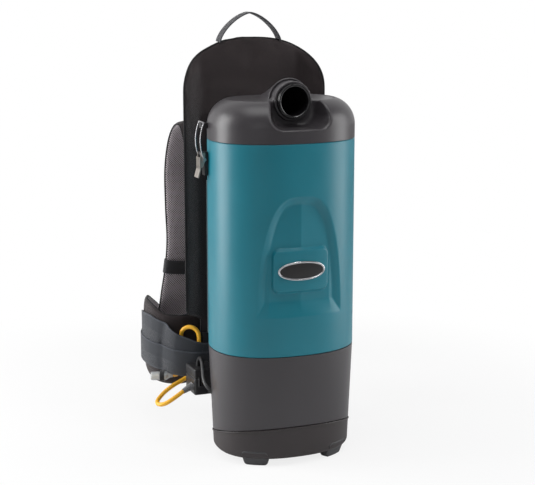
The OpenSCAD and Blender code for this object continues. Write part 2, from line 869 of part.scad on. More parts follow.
module inlet_collar() color(BASE_BLACK) on_tank_axis() {
    translate([0, -neck_reach - collar_out, inlet_z]) rotate([-90, 0, 0]) {
        tube(collar_out + collar_in - 0.4, inlet_bore / 2 + inlet_wall, inlet_bore / 2);
        // Lips at the mouth and on the bushing's face
        for (y = [0, collar_out - 3.4]) {
            translate([0, 0, y]) tube(3, inlet_bore / 2 + inlet_wall + 3, inlet_bore / 2);
        }
    }
}

module inlet_elbow() color(BASE_BLACK) on_tank_axis() {
    translate([0, -neck_reach + collar_in, inlet_z - elbow_r])
        rotate([90, 0, 90])
            rotate_extrude(angle = 90, $fn = SMOOTH)
                translate([elbow_r, 0]) elbow_ring();
    translate([0, spout_y, collar_z - 6]) tube(inlet_z - elbow_r - collar_z + 6, spout_r, inlet_bore / 2);
}

module elbow_ring() {
    difference() {
        circle(r = spout_r, $fn = SMOOTH);
        circle(r = inlet_bore / 2, $fn = SMOOTH);
    }
}

// ---------- latches ----------

module latch_bases() color(BASE_BLACK) on_tank_axis() both_sides() {
    difference() {
        union() {
            translate([-half_w - 5, latch_y - knuckle_half, pin_z - lever_l + 4])
                cube([40, 2 * knuckle_half, lever_l]);
            // Knuckle round the lever pin
            rod_y(pin_x, latch_y - knuckle_half, pin_z, 2 * knuckle_half, pin_d / 2 + 2.2);
            translate([pin_x, latch_y - knuckle_half, pin_z - 3]) cube([12, 2 * knuckle_half, 6]);
        }
        prism(0, 2 * tank_top);
        rod_y(pin_x, latch_y - lever_w, pin_z, 2 * lever_w, pin_d / 2 + running);
    }
}

module lever_shape() {
    plate_t = lever_half - knuckle_half - ease;
    foot_x = pin_x - 6;
    for (side = [0, 1]) {
        translate([0, latch_y, 0]) mirror([0, side, 0]) {
            // Side plate with the stub that the bail turns on
            translate([0, knuckle_half + ease, 0]) rotate([90, 0, 0]) mirror([0, 0, 1])
                linear_extrude(height = plate_t)
                    polygon([
                        [pin_x - 5, pin_z + 3], [pin_x + 3, pin_z + 3], [bail_x + 2.5, bail_pin_z - 2.5],
                        [pin_x - 1, pin_z - 22], [pin_x - 5, pin_z - 24]
                    ]);
            rod_y(bail_x, lever_half - plate_t / 2, bail_pin_z, bail_eye + plate_t / 2 + 1.5, pin_d / 2 - 0.6);
        }
    }
    // Pin through the knuckle
    rod_y(pin_x, latch_y - lever_half, pin_z, 2 * lever_half, pin_d / 2);
    // Front plate with its kicked-out foot
    translate([0, latch_y + lever_half, 0]) rotate([90, 0, 0])
        linear_extrude(height = 2 * lever_half)
            polygon([
                [pin_x - 7, pin_z - 5], [pin_x - 5, pin_z - 5], [pin_x - 5, pin_z - 26],
                [pin_x - 9, pin_z - lever_l], [pin_x - 11, pin_z - lever_l + 1], [pin_x - 7, pin_z - 26]
            ]);
}

module latch_lever_left() color(SILVER) on_tank_axis() lever_shape();

module latch_lever_right() color(SILVER) on_tank_axis() on_right() lever_shape();

// Wire bail: two eyes, two bowed legs and the bar over the keeper
module bail_shape() {
    bow = 7;
    leg_r = (bail_l * bail_l / 4 + bow * bow) / (2 * bow);
    leg_angle = 2 * asin(bail_l / 2 / leg_r);
    for (side = [-1, 1]) {
        translate([bail_x, latch_y + side * (bail_half - 0.5), bail_pin_z]) rotate([90, 0, 0])
            translate([0, 0, -bail_eye / 2 + 0.5])
                tube(bail_eye - 1, pin_d / 2 + 1.6, pin_d / 2 - 0.6 + running);
        difference() {
            translate([bail_x - bow + leg_r, latch_y + side * (bail_half - 0.5), bail_pin_z + bail_l / 2])
                rotate([90, 0, 0]) rotate([0, 0, 180 - leg_angle / 2])
                    rotate_extrude(angle = leg_angle, $fn = 2 * SMOOTH) translate([leg_r, 0])
                        circle(d = wire_d - 1, $fn = 16);
            translate([bail_x, latch_y - 30, bail_pin_z]) rotate([-90, 0, 0])
                cylinder(h = 60, r = pin_d / 2 + 0.4, $fn = SMOOTH);
        }
    }
    rod_y(bail_x, latch_y - bail_half - 0.6, bail_pin_z + bail_l, 2 * bail_half + 1.2, wire_d / 2);
}

module latch_bail_left() color(SILVER) on_tank_axis() bail_shape();

module latch_bail_right() color(SILVER) on_tank_axis() on_right() bail_shape();

// ---------- harness ----------

bracket_heights = [housing_top + 16, tank_top - 100];
bracket_h = 36;
bracket_w = 120;
bracket_screw_x = bracket_w / 2 - 14;

module frame_brackets() color(BASE_BLACK) on_tank_axis() {
    for (z = bracket_heights) {
        difference() {
            translate([-bracket_w / 2, half_d / 2, z]) cube([bracket_w, board_y - half_d / 2, bracket_h]);
            prism(0, 2 * tank_top);
            for (x = [-1, 1]) {
                rod_y(x * bracket_screw_x, board_y - 30, z + bracket_h / 2, 31, screw_d / 2 + ease);
            }
        }
    }
}

board_bottom = 100;
board_top = 610;
ear_w = 16;

module harness_board() color(BASE_BLACK) on_tank_axis() {
    difference() {
        union() {
            translate([-board_w / 2, board_y, board_bottom]) cube([board_w, board_t, board_top - board_bottom]);
            // Ears for the belt webbing
            translate([-board_w / 2 - ear_w, board_y, board_bottom + 8]) cube([board_w + 2 * ear_w, board_t, 84]);
        }
        for (z = bracket_heights) for (x = [-1, 1]) {
            rod_y(x * bracket_screw_x, board_y - 1, z + bracket_h / 2, board_t + 2, screw_d / 2 + ease);
        }
    }
}

pad_bottom = 96;
pad_low_w = 196;
pad_power = 2.5;
pad_channels = [250, 330, 410, 490, 570];

// Half width of the back pad at a height: narrow foot, wide middle, rounded top
function pad_half(z) =
    z > pad_top - pad_round
        ? pad_w / 2 * pow(max(0.02, 1 - pow((z - pad_top + pad_round) / pad_round, pad_power)), 1 / pad_power)
        : z > waist_z + 83 ? pad_w / 2
        : z > waist_z + 60 ? pad_low_w / 2 + (pad_w - pad_low_w) / 2 * (z - waist_z - 60) / 23
        : pad_low_w / 2;

// The pad is thinner at its two ends and along each sewn channel
function pad_thick(z) =
    let (
        from_top = (pad_top - z) / 30,
        from_bottom = (z - pad_bottom) / 30,
        near = min([for (c = pad_channels) abs(z - c)])
    )
    pad_t * (0.45 + 0.55 * min(1, from_top, from_bottom)) - 7 * max(0, 1 - near / 8);

// Where the pad's front lies: flat on the board, and curled forward beyond its ears
function pad_front(x) =
    let (start = board_w / 2 + 6)
    pad_y - pad_curl * pow(max(0, abs(x) - start) / (pad_w / 2 - start), 1.6);

// One level of the pad, crowned towards the wearer
function pad_level(z) =
    let (w = pad_half(z), t = pad_thick(z))
    [for (i = [0:17])
        let (
            a = 180 + 180 * i / 17,
            u = cos(a),
            x = -w * sign(u) * pow(abs(u), 0.7),
            flat = i == 0 || i == 17
        )
        [x, pad_front(x) + (flat ? 3 : t * pow(abs(sin(a)), 0.45)), z]];

pad_levels = concat(
    [pad_bottom, pad_bottom + 12, pad_bottom + 40, waist_z + 60, waist_z + 83],
    [for (c = pad_channels) each [c - 10, c, c + 10]],
    [for (a = [0:12:84]) pad_top - pad_round + pad_round * sin(a)],
    [pad_top - 0.6]
);

function sorted(list) = len(list) < 2 ? list :
    let (pivot = list[floor(len(list) / 2)])
    concat(
        sorted([for (v = list) if (v < pivot) v]),
        [pivot],
        sorted([for (v = list) if (v > pivot) v])
    );

module back_pad() color(FABRIC) on_tank_axis() {
    shares = [0.97, 0.88, 0.77, 0.66, 0.33, 0, -0.33, -0.66, -0.77, -0.88, -0.97];
    skin([for (z = sorted(pad_levels))
        concat(pad_level(z), [for (s = shares) let (x = -pad_half(z) * s) [x, pad_front(x), z]])]);
}

lumbar_w = 176;
lumbar_h = 128;

module lumbar_pad() color(FABRIC) on_tank_axis() {
    steps = [0, 0.06, 0.16, 0.3, 0.47, 0.5, 0.53, 0.7, 0.84, 0.94, 1];
    skin([for (s = steps)
        let (
            edge = pow(max(0, 1 - pow(abs(2 * s - 1), 4)), 0.5),
            groove = s == 0.5 ? 0.7 : 1,
            middle_point = [0, pad_back + ease + lumbar_t / 2, waist_z + (s - 0.5) * lumbar_h],
            t = lumbar_t * (0.4 + 0.6 * edge) * groove
        )
        pad_ring(middle_point, [1, 0, 0], [0, 1, 0], lumbar_w - 10 + 10 * edge, t, 24)]);
}

module carry_handle() color(WEBBING) on_tank_axis() {
    handle_y = pad_y + pad_t / 2;
    foot_z = pad_top - pad_round
        + pad_round * pow(1 - pow(handle_span / pad_w, pad_power), 1 / pad_power) + 0.7;
    path = [for (a = [180:-7.5:0])
        let (q = squircle(handle_span / 2, handle_h, 1.8, a))
        [q[0], handle_y, foot_z + q[1]]];
    skin([for (i = [0:len(path) - 1])
        let (t = tangent(path, i))
        strap_ring(path[i], [0, 1, 0], cross(t, [0, 1, 0]), narrow_w, webbing_t)]);
}

// Centre line of the left shoulder strap, from the pad's back over the shoulder and down.
// Its y is measured from the pad's back face.
strap_route = [
    [-86, 4, 506], [-87, 8.4, 546], [-90, 26, 580], [-93, 54, 578], [-97, 80, 546], [-100, 94, 490],
    [-104, 80, 420], [-109, 57, 360], [-114, 54, 310], [-120, 66, 250], [-126, 78, 204]
];

function strap_line() = [for (p = spline(strap_route, 3)) [p[0], pad_back + p[1], p[2]]];

// Direction across the strap at a point: it leans as the strap spreads towards the hip
function strap_across(line, i) = unit(cross(cross(tangent(line, i), [1, 0, 0]), tangent(line, i)));

// Width and thickness taper at both ends
function strap_end(line, i) = min(1, 0.55 + 0.45 * min(i, len(line) - 1 - i) / 2);

module shoulder_strap_shape() {
    line = strap_line();
    skin([for (i = [0:len(line) - 1])
        let (
            t = tangent(line, i),
            across = strap_across(line, i),
            fill = strap_end(line, i)
        )
        pad_ring(line[i], across, cross(t, across), strap_w * (0.8 + 0.2 * fill), strap_t * fill, 14)]);
}

module shoulder_strap_left() color(MESH_GREY) on_tank_axis() shoulder_strap_shape();

module shoulder_strap_right() color(MESH_GREY) on_tank_axis() mirror([1, 0, 0]) shoulder_strap_shape();

slider_z = 303;

// Bands of webbing round the straps
module strap_sliders() color(WEBBING) on_tank_axis() both_sides() {
    line = strap_line();
    near = [for (i = [0:len(line) - 1]) if (i > 15 && abs(line[i][2] - slider_z) < 16) i];
    i = near[0];
    t = tangent(line, i);
    across = strap_across(line, i);
    out = cross(t, across);
    difference() {
        skin([for (s = [-14, 14]) pad_ring(line[i] + s * t, across, out, strap_w + 7, strap_t + 7, 14)]);
        skin([for (s = [-20, 20]) pad_ring(line[i] + s * t, across, out, strap_w + 2, strap_t + 3, 14)]);
    }
}

// Ladder locks at the straps' lower ends
strap_foot = strap_route[len(strap_route) - 1] + [0, pad_back, 0];
lock_l = 26;

module ladder_locks() color(BASE_BLACK) on_tank_axis() both_sides() {
    lock_t = 5;
    slot_z = 7;
    translate(strap_foot + [0, 3, -lock_l / 2 - 3]) {
        difference() {
            cube([narrow_w + 9, lock_t, lock_l], center = true);
            for (z = [-slot_z, slot_z]) {
                translate([0, 0, z]) cube([narrow_w + 2, lock_t + 2, lock_t], center = true);
            }
        }
    }
}

// Webbing from the ladder locks to the wings' roots
module strap_webbing() color(WEBBING) on_tank_axis() both_sides() {
    root_y = wing_y + wing_t / 2 + ease + webbing_t / 2;
    line = spline([
        strap_foot + [0, 3, -lock_l - 3 - ease], strap_foot + [1, 1, -42],
        [-116, (strap_foot[1] + root_y) / 2, waist_z - 20], [-109, root_y + 9, waist_z - 34],
        [-106, root_y + 0.6, waist_z - 44], [-106, root_y - 0.6, waist_z - 54]
    ], 3);
    skin([for (i = [0:len(line) - 1])
        let (t = tangent(line, i), across = unit([1, -0.1, 0] - ([1, -0.1, 0] * t) * t))
        strap_ring(line[i], across, cross(t, across), narrow_w, webbing_t)]);
}

// Centre line of the left hip wing, in plan
wing_route = [
    [-89, 0, 0], [-110, 0, 0], [-132, -1, 0], [-158, 10, 1], [-173, 38, 3], [-173, 80, 4],
    [-156, 116, 3], [-124, 138, 0]
];
// Height of the wing's two edges over and under its middle against the share of its length
wing_rise = [[0, 0.83], [0.42, 0.86], [0.6, 1.06], [0.8, 1.1], [0.9, 0.9], [1, 0.6]];
wing_fall = [[0, 0.88], [0.25, 1], [0.6, 1], [1, 0.46]];
wing_y = lumbar_back - lumbar_t / 2;

function wing_line() = [for (p = spline(wing_route, 3)) [p[0], wing_y + p[1], waist_z + p[2]]];

module hip_wing_shape() {
    line = wing_line();
    last = len(line) - 1;
    skin([for (i = [0:last])
        let (
            t = unit([tangent(line, i)[0], tangent(line, i)[1], 0]),
            up = wing_h / 2 * lookup(i / last, wing_rise),
            down = wing_h / 2 * lookup(i / last, wing_fall),
            end = min(1, 0.5 + 0.5 * min(i, last - i))
        )
        pad_ring(line[i] + [0, 0, (up - down) / 2], [0, 0, 1], cross(t, [0, 0, 1]), up + down, wing_t * end, 14)]);
}

module hip_wing_left() color(FABRIC) on_tank_axis() hip_wing_shape();

module hip_wing_right() color(FABRIC) on_tank_axis() mirror([1, 0, 0]) hip_wing_shape();

// Where a band leaves the board's ear: x, and y from the board's face
ear_points = [[-88, 0], [-104, 0], [-122, 5], [-150, 22]];
// Rise of each band's middle over the waist, against the number of its point
hip_rise = [[0, -4], [3, -4], [6, 2], [9, 14], [12, 30], [15, 40], [18, 36], [21, 22], [24, 8]];
side_rise = [[0, -20], [6, -19], [12, -14], [15, -11], [21, -8]];
wing_first = 9;

// Points over the board's ear and then along the wing's outer skin
function band_points() =
    let (
        wing = wing_line(),
        skin_points = [for (i = [wing_first:len(wing) - 1])
            let (t = tangent(wing, i))
            [wing[i][0] - wing_t / 2 * t[1], wing[i][1] + wing_t / 2 * t[0], 0]],
        ear = spline(concat([for (e = ear_points) [e[0], board_y + e[1], 0]], [skin_points[0]]), 3)
    )
    concat([for (i = [0:len(ear) - 2]) ear[i]], skin_points);

// A band that lies a distance off those points, up to a last one, with further points after it
module band(off, rise, rest) {
    base = band_points();
    last = rise[len(rise) - 1][0];
    over = [for (k = [0:last])
        let (t = tangent(base, k))
        [base[k][0] - off * t[1], base[k][1] + off * t[0], waist_z + lookup(k, rise)]];
    line = concat([for (k = [0:last - 1]) over[k]], spline(concat([over[last]], rest), 3));
    skin([for (i = [0:len(line) - 1])
        let (t = tangent(line, i))
        strap_ring(line[i], [0, 0, 1], unit([t[1], -t[0], 0]), belt_w, webbing_t)]);
}

// Belt webbing over both wings, to the buckle's two halves
module hip_belt() color(WEBBING) on_tank_axis() {
    off = webbing_t / 2 + ease;
    tongue_ends = [-100, -66, -8];
    socket_ends = [-100, -70, -socket_l - ease];
    band(off, hip_rise, [for (x = tongue_ends) [x, belt_back, waist_z]]);
    mirror([1, 0, 0]) band(off, hip_rise, [for (x = socket_ends) [x, belt_back, waist_z]]);
}

// Second, lower webbing on each side
module side_belts() color(WEBBING) on_tank_axis() both_sides() {
    band(3 * webbing_t / 2 + 2 * ease, side_rise, []);
}

// Side-release buckle on the closed belt
buckle_w = belt_w + 18;
buckle_wall = 3;
socket_l = 46;
prong_l = 28;

module buckle_socket() color(BASE_BLACK) on_tank_axis() {
    difference() {
        translate([0, belt_back - buckle_t / 2, waist_z - buckle_w / 2]) cube([socket_l, buckle_t, buckle_w]);
        translate([-1, belt_back - buckle_t / 2 + buckle_wall, waist_z - buckle_w / 2 + buckle_wall])
            cube([socket_l - 12, buckle_t - 2 * buckle_wall, buckle_w - 2 * buckle_wall]);
    }
}

// The tongue's webbing slot runs through between its two prongs
module buckle_tongue() color(BASE_BLACK) on_tank_axis() {
    slot_half = belt_w / 2 + ease;
    prong_w = buckle_w / 2 - buckle_wall - 2 * ease - slot_half;
    prong_out = slot_half + ease + prong_w / 2;
    for (z = [-1, 1]) {
        translate([-6, belt_back - buckle_t / 2 + buckle_wall + ease, waist_z + z * prong_out - prong_w / 2])
            cube([6 + prong_l, buckle_t - 2 * buckle_wall - 2 * ease, prong_w]);
    }
    difference() {
        translate([-34, belt_back - buckle_t / 2, waist_z - buckle_w / 2]) cube([34 - ease, buckle_t, buckle_w]);
        translate([-40, belt_back - webbing_t / 2 - ease, waist_z - slot_half])
            cube([50, webbing_t + 2 * ease, 2 * slot_half]);
    }
}

// ---------- electrics ----------

module switch_box() color(BASE_BLACK) on_tank_axis() {
    shell = 3;
    difference() {
        translate([box_x - box_w / 2, box_y - box_d / 2, box_z - box_h / 2]) cube([box_w, box_d, box_h]);
        translate([box_x - box_w / 2 + shell, box_y - box_d / 2 + shell, box_z - box_h / 2 + shell])
            cube([box_w - 2 * shell, box_d - 2 * shell, box_h - 2 * shell]);
        translate([box_x - rocker_l / 2 - 0.5, box_y - box_d / 2 - 1, box_z - rocker_w / 2 - 0.5])
            cube([rocker_l + 1, shell + 2, rocker_w + 1]);
        rod_between(relief_root, relief_root + relief_axis * 8, 3.4);
    }
}

rocker_l = 22;
rocker_w = 13;
rocker_throw = 14;

// Rocker with its pin, tipped to its off side
module rocker_switch() color(RUBBER) on_tank_axis() {
    translate([box_x, box_y - box_d / 2 + 2.5, box_z]) rotate([0, 0, rocker_throw / 2]) {
        translate([0, 0, -rocker_w / 2]) linear_extrude(height = rocker_w)
            polygon([
                [-rocker_l / 2 + 1, -4], [0, -2.6], [rocker_l / 2 - 1, -4],
                [rocker_l / 2 - 2.5, 3], [-rocker_l / 2 + 2.5, 3]
            ]);
    }
}

// Ribbed, tapered relief at the cord's exit
module cord_relief() color(CHARCOAL) on_tank_axis() {
    difference() {
        union() {
            rod_between(relief_exit, relief_root + 2 * relief_axis, cord_d / 2 + 1.2);
            for (s = [0.2:0.2:0.8]) {
                rod_between(
                    relief_exit + s * (relief_root - relief_exit),
                    relief_exit + (s + 0.1) * (relief_root - relief_exit),
                    cord_d / 2 + 1.2 + 3 * s);
            }
        }
        translate([box_x - box_w / 2, box_y - box_d / 2, box_z - box_h / 2]) cube([box_w, box_d, box_h]);
    }
}

module motor_lead() color(RUBBER) on_tank_axis() {
    swept_tube(lead_route, lead_d, 10);
}

// Rubber grommet in the housing's hole
module lead_grommet() color(RUBBER) on_tank_axis() {
    difference() {
        rod_between(lead_entry - 13 * lead_axis, lead_entry - 1 * lead_axis, lead_d / 2 + 2.4);
        rod_between(lead_entry - 15 * lead_axis, lead_entry + 1 * lead_axis, lead_d / 2 + 0.6);
    }
}

module power_cord() color(YELLOW) on_tank_axis() {
    swept_tube(spline(cord_route, 2), cord_d, 8);
}

// Plug at the cord's end, lying against the hip wing
plug_start = cord_route[len(cord_route) - 1];
plug_axis = unit([-44, 17, -2]);
plug_l = 26;
plug_w = 26;
plug_t = 16;
cap_l = 17;
loop_w = 9;

// Puts a shape drawn along +X at the cord's end
module at_plug(s) {
    translate(plug_start + s * plug_axis)
        rotate([0, asin(-plug_axis[2]), atan2(plug_axis[1], plug_axis[0])])
            children();
}

module plug_body() color(CLEAR) on_tank_axis() at_plug(0) {
    rotate([0, 90, 0]) linear_extrude(height = plug_l)
        polygon([for (i = [0:31]) squircle(plug_t / 2, plug_w / 2, 2.6, 360 * i / 32)]);
}

// Elastic loop on the hip wing that holds the plug
module plug_loop() color(WEBBING) on_tank_axis() at_plug(plug_l - loop_w - 1) {
    difference() {
        rotate([0, 90, 0]) linear_extrude(height = loop_w)
            polygon([for (i = [0:31]) squircle(plug_t / 2 + 1.5, plug_w / 2 + 1.5, 2.6, 360 * i / 32)]);
        translate([-1, 0, 0]) rotate([0, 90, 0]) linear_extrude(height = loop_w + 2)
            polygon([for (i = [0:31]) squircle(plug_t / 2 + 0.1, plug_w / 2 + 0.1, 2.6, 360 * i / 32)]);
    }
}

module plug_blades() color(SILVER) on_tank_axis() at_plug(plug_l) {
    blade_gap = 12.7;
    blade_l = cap_l - 2;
    for (y = [-1, 1]) {
        translate([0, y * blade_gap / 2 - 0.75, -0.5]) cube([blade_l, 1.5, 6.3]);
    }
    translate([0, 0, -4.4]) rotate([0, 90, 0]) cylinder(h = blade_l, r = 2.4, $fn = SMOOTH);
}

module blade_cap() color(CLEAR) on_tank_axis() at_plug(plug_l + 0.1) {
    difference() {
        rotate([0, 90, 0]) linear_extrude(height = cap_l)
            polygon([for (i = [0:31]) squircle(plug_t / 2 - 0.6, plug_w / 2 - 0.6, 2.6, 360 * i / 32)]);
        translate([-1, -8, -7]) cube([cap_l, 16, 14]);
    }
}

tank();
badge();
tank_trim();
motor_housing();
base_cap();
feet();
screws();
motor_deck();
motor_mounts();
field_can();
bearings();
brushes();
fan_shroud();
motor_shaft();
armature();
commutator();
impellers();
exhaust_foam();
hepa_filter();
cloth_filter();
bag_bridge();
bag_collar();
filter_bag();
lid();
lid_gasket();
lid_keepers();
inlet_bushing();
inlet_elbow();
inlet_collar();
latch_bases();
latch_lever_left();
latch_lever_right();
latch_bail_left();
latch_bail_right();
frame_brackets();
harness_board();
back_pad();
lumbar_pad();
carry_handle();
shoulder_strap_left();
shoulder_strap_right();
strap_sliders();
strap_webbing();
ladder_locks();
hip_wing_left();
hip_wing_right();
hip_belt();
side_belts();
buckle_socket();
buckle_tongue();
switch_box();
rocker_switch();
cord_relief();
motor_lead();
lead_grommet();
power_cord();
plug_loop();
plug_body();
plug_blades();
blade_cap();
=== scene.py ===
import logging
import math
from collections.abc import Callable, Sequence
from dataclasses import dataclass
from enum import Enum

import bpy
import numpy as np
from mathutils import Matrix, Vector


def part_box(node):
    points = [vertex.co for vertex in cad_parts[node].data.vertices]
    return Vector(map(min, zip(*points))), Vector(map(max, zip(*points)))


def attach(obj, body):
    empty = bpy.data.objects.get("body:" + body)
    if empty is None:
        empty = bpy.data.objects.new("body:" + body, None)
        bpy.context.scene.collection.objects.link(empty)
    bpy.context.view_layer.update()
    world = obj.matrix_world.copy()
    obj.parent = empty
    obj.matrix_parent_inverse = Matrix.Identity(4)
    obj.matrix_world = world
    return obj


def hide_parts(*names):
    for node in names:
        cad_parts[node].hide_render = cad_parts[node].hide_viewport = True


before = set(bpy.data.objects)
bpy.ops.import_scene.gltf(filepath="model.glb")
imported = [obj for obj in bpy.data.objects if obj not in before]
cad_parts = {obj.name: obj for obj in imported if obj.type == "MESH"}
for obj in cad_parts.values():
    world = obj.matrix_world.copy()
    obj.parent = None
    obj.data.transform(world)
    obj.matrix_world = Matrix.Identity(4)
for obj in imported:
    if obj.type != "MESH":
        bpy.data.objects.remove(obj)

# Sizes are millimetres about the tank's upright axis. to_frame() turns them into the shared frame.
LOG = logging.getLogger("backpack_vacuum")
MM = 0.001
TINY = 1e-12
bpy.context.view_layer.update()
TANK_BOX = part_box("tank")
TANK_Y = (TANK_BOX[0].y + TANK_BOX[1].y) / 2 / MM

Array = np.ndarray
Points = np.ndarray
Piece = bpy.types.Object
Colour = tuple[float, float, float, float]
Place3 = tuple[float, float, float]
Route = tuple[Place3, ...]
Table = tuple[tuple[float, float], ...]


# ---------- curves and fields ----------


def unit(vectors: Points) -> Points:
    """Vectors scaled to a length of one."""
    return vectors / np.maximum(np.linalg.norm(vectors, axis=-1, keepdims=True), TINY)


def to_frame(points: Points) -> Points:
    """Millimetres about the tank's axis as metres in the shared frame."""
    return (np.asarray(points, float) + (0, TANK_Y, 0)) * MM


def at_height(plan: Points, z: float) -> Points:
    """Points of a plan, all at one height."""
    return np.column_stack([plan, np.full(len(plan), z)])


def spline(points: Sequence[Sequence[float]], steps: int) -> Points:
    """A smooth line through points.

    Args:
        points: Points that the line passes through.
        steps: Number of stretches between two of them.

    Returns:
        The line's points, the given ones among them.
    """
    p = np.asarray(points, float)
    wide = np.vstack([2 * p[0] - p[1], p, 2 * p[-1] - p[-2]])
    t = (np.arange(steps) / steps)[:, None]
    rows = []
    for a, b, c, d in zip(wide, wide[1:], wide[2:], wide[3:]):
        rows.append(0.5 * (2 * b + (c - a) * t + (2 * a - 5 * b + 4 * c - d) * t**2
                           + (3 * b - a - 3 * c + d) * t**3))
    return np.vstack([*rows, p[-1:]])


def tangents(line: Points) -> Points:
    """Direction of a line at each of its points."""
    return unit(np.vstack([line[1:], line[-1:]]) - np.vstack([line[:1], line[:-1]]))


def lengths(line: Points) -> Array:
    """Length of a line up to each of its points."""
    return np.concatenate([[0], np.cumsum(np.linalg.norm(np.diff(line, axis=0), axis=1))])


def squircle(a: float, b: float, power: float, degrees: Array) -> Points:
    """Points of a superellipse with half sizes a and b."""
    ways = ((a, np.cos(np.radians(degrees))), (b, np.sin(np.radians(degrees))))
    return np.stack([half * np.sign(way) * np.abs(way) ** (2 / power) for half, way in ways], -1)


def round_angles(columns: int) -> Array:
    """Angles once round the body, from its back and back again."""
    return np.linspace(-270, 90, columns + 1)


def smooth_min(a: Array, b: Array, k: float) -> Array:
    """The lower of two fields, rounded over a width k where they meet."""
    h = np.clip(0.5 + 0.5 * (b - a) / k, 0, 1)
    return b + (a - b) * h - k * h * (1 - h)


def smooth_max(a: Array, b: Array, k: float) -> Array:
    """The higher of two fields, rounded over a width k where they meet."""
    return -smooth_min(-a, -b, k)


def soft_ramp(x: Array, foot: float = 0.16, head: float = 0.3) -> Array:
    """A ramp from 0 to 1 with a rounded foot and head."""
    return smooth_min(smooth_max(x, 0 * x, foot), 0 * x + 1, head)


def ease(x: Array) -> Array:
    """A smooth step from 0 to 1."""
    x = np.clip(x, 0, 1)
    return x * x * (3 - 2 * x)


def quarter(x: Array) -> Array:
    """A quarter circle that rises from 0 to 1 as x does, and stays there."""
    return np.sqrt(1 - (1 - np.clip(x, 0, 1)) ** 2)


def bell(x: Array, middle: float, width: float) -> Array:
    """A bell of height 1 about a middle."""
    return np.exp(-(((x - middle) / width) ** 2))


def corner_field(a: Array, b: Array, radius: float) -> Array:
    """Distance outside a corner rounded to a radius, from the distances past where its round starts."""
    return np.hypot(np.maximum(a, 0), np.maximum(b, 0)) + np.minimum(np.maximum(a, b), 0) - radius


@dataclass(frozen=True)
class Outline:
    """Plan section of the body: a superellipse about the tank's axis."""

    half_w: float = 132.0
    half_d: float = 102.0
    power: float = 2.3
    arc_reach: float = 40.0
    arc_steps: int = 400

    def ring(self, degrees: Array, inset: Array | float = 0.0) -> Points:
        """x and y of the section's points at given angles, drawn in by an inset."""
        q = squircle(1.0, 1.0, self.power, degrees)
        return np.stack([q[..., 0] * (self.half_w - inset), q[..., 1] * (self.half_d - inset)], -1)

    def front(self, x: Array, inset: Array | float = 0.0) -> Array:
        """y of the section's front at x."""
        share = np.clip(np.abs(x) / (self.half_w - inset), 0, 1) ** self.power
        return -(self.half_d - inset) * (1 - share) ** (1 / self.power)

    def arc(self, centre: float, distances: Array) -> Array:
        """Angles of points along the section.

        Args:
            centre: Angle that the distances start from.
            distances: Distance of each point along the section.

        Returns:
            Their angles.
        """
        degrees = centre + np.linspace(-self.arc_reach, self.arc_reach, 2 * self.arc_steps + 1)
        run = lengths(self.ring(degrees))
        return np.interp(distances, run - run[self.arc_steps], degrees)


BODY = Outline()


# ---------- modelling ----------


class Side(Enum):
    """Side of the object, as the sign of x."""

    LEFT = -1
    RIGHT = 1

    def of(self, points: Points) -> Points:
        """Points drawn for the left, on this side."""
        return points * (-self.value, 1, 1)


@dataclass
class Net:
    """Rows and columns of points that a grid is laid over.

    Attributes:
        points: The points, as rows, columns and coordinates.
        uv: Place of each point on the cloth or sheet, in metres.
        faces: Number of the finish on each face.
        sewn: Which points a simulation holds still.
    """

    points: Points
    uv: Points | None = None
    faces: Array | None = None
    sewn: Array | None = None

    def on(self, side: Side) -> "Net":
        """The net, drawn for the left, on either side and still facing outwards."""
        parts = (side.of(self.points), self.uv, self.faces, self.sewn)
        return self if side is Side.LEFT else Net(*[None if p is None else p[:, ::-1] for p in parts])

    def sew(self, rows: Sequence[int], columns: Sequence[int]) -> "Net":
        """Marks the rows and columns that a simulation holds still.

        Args:
            rows: Numbers of the rows.
            columns: Numbers of the columns.

        Returns:
            The net itself.
        """
        self.sewn = np.zeros(self.points.shape[:2], bool)
        self.sewn[list(rows)] = True
        self.sewn[:, list(columns)] = True
        return self


def select_only(*objects: Piece) -> None:
    """Selects these objects alone and makes the first one active.

    Args:
        objects: The objects.
    """
    bpy.ops.object.select_all(action="DESELECT")
    for obj in objects:
        obj.select_set(True)
    bpy.context.view_layer.objects.active = objects[0]


def edit(obj: Piece, *steps: Callable[[], object]) -> None:
    """Runs mesh operators on the whole of a piece.

    Args:
        obj: The piece.
        steps: The operators, in order.
    """
    select_only(obj)
    bpy.ops.object.mode_set(mode="EDIT")
    bpy.ops.mesh.select_all(action="SELECT")
    for step in steps:
        step()
    bpy.ops.object.mode_set(mode="OBJECT")


def weld() -> None:
    """Merges the points of a seam or pole, in edit mode."""
    bpy.ops.mesh.remove_doubles(threshold=0.02 * MM)


def face_out() -> None:
    """Turns all faces of a closed mesh outwards, in edit mode."""
    bpy.ops.mesh.normals_make_consistent(inside=False)


def named(obj: Piece, name: str) -> Piece:
    """Gives an object and its data one name."""
    obj.name = obj.data.name = name
    return obj


def added(name: str, operator: Callable[..., object], **settings: object) -> Piece:
    """Adds a primitive, lamp or camera while nothing else is selected.

    Args:
        name: Its name.
        operator: The operator that adds it.
        settings: The operator's settings.

    Returns:
        The new object.
    """
    bpy.ops.object.select_all(action="DESELECT")
    operator(**settings)
    return named(bpy.context.active_object, name)


def paint(obj: Piece, *finishes: "Finish") -> Piece:
    """Gives a piece its finishes, in the order of its face numbers.

    Args:
        obj: The piece.
        finishes: The finishes.

    Returns:
        The piece.
    """
    obj.data.materials.clear()
    for finish in finishes:
        obj.data.materials.append(finish.material())
    return obj


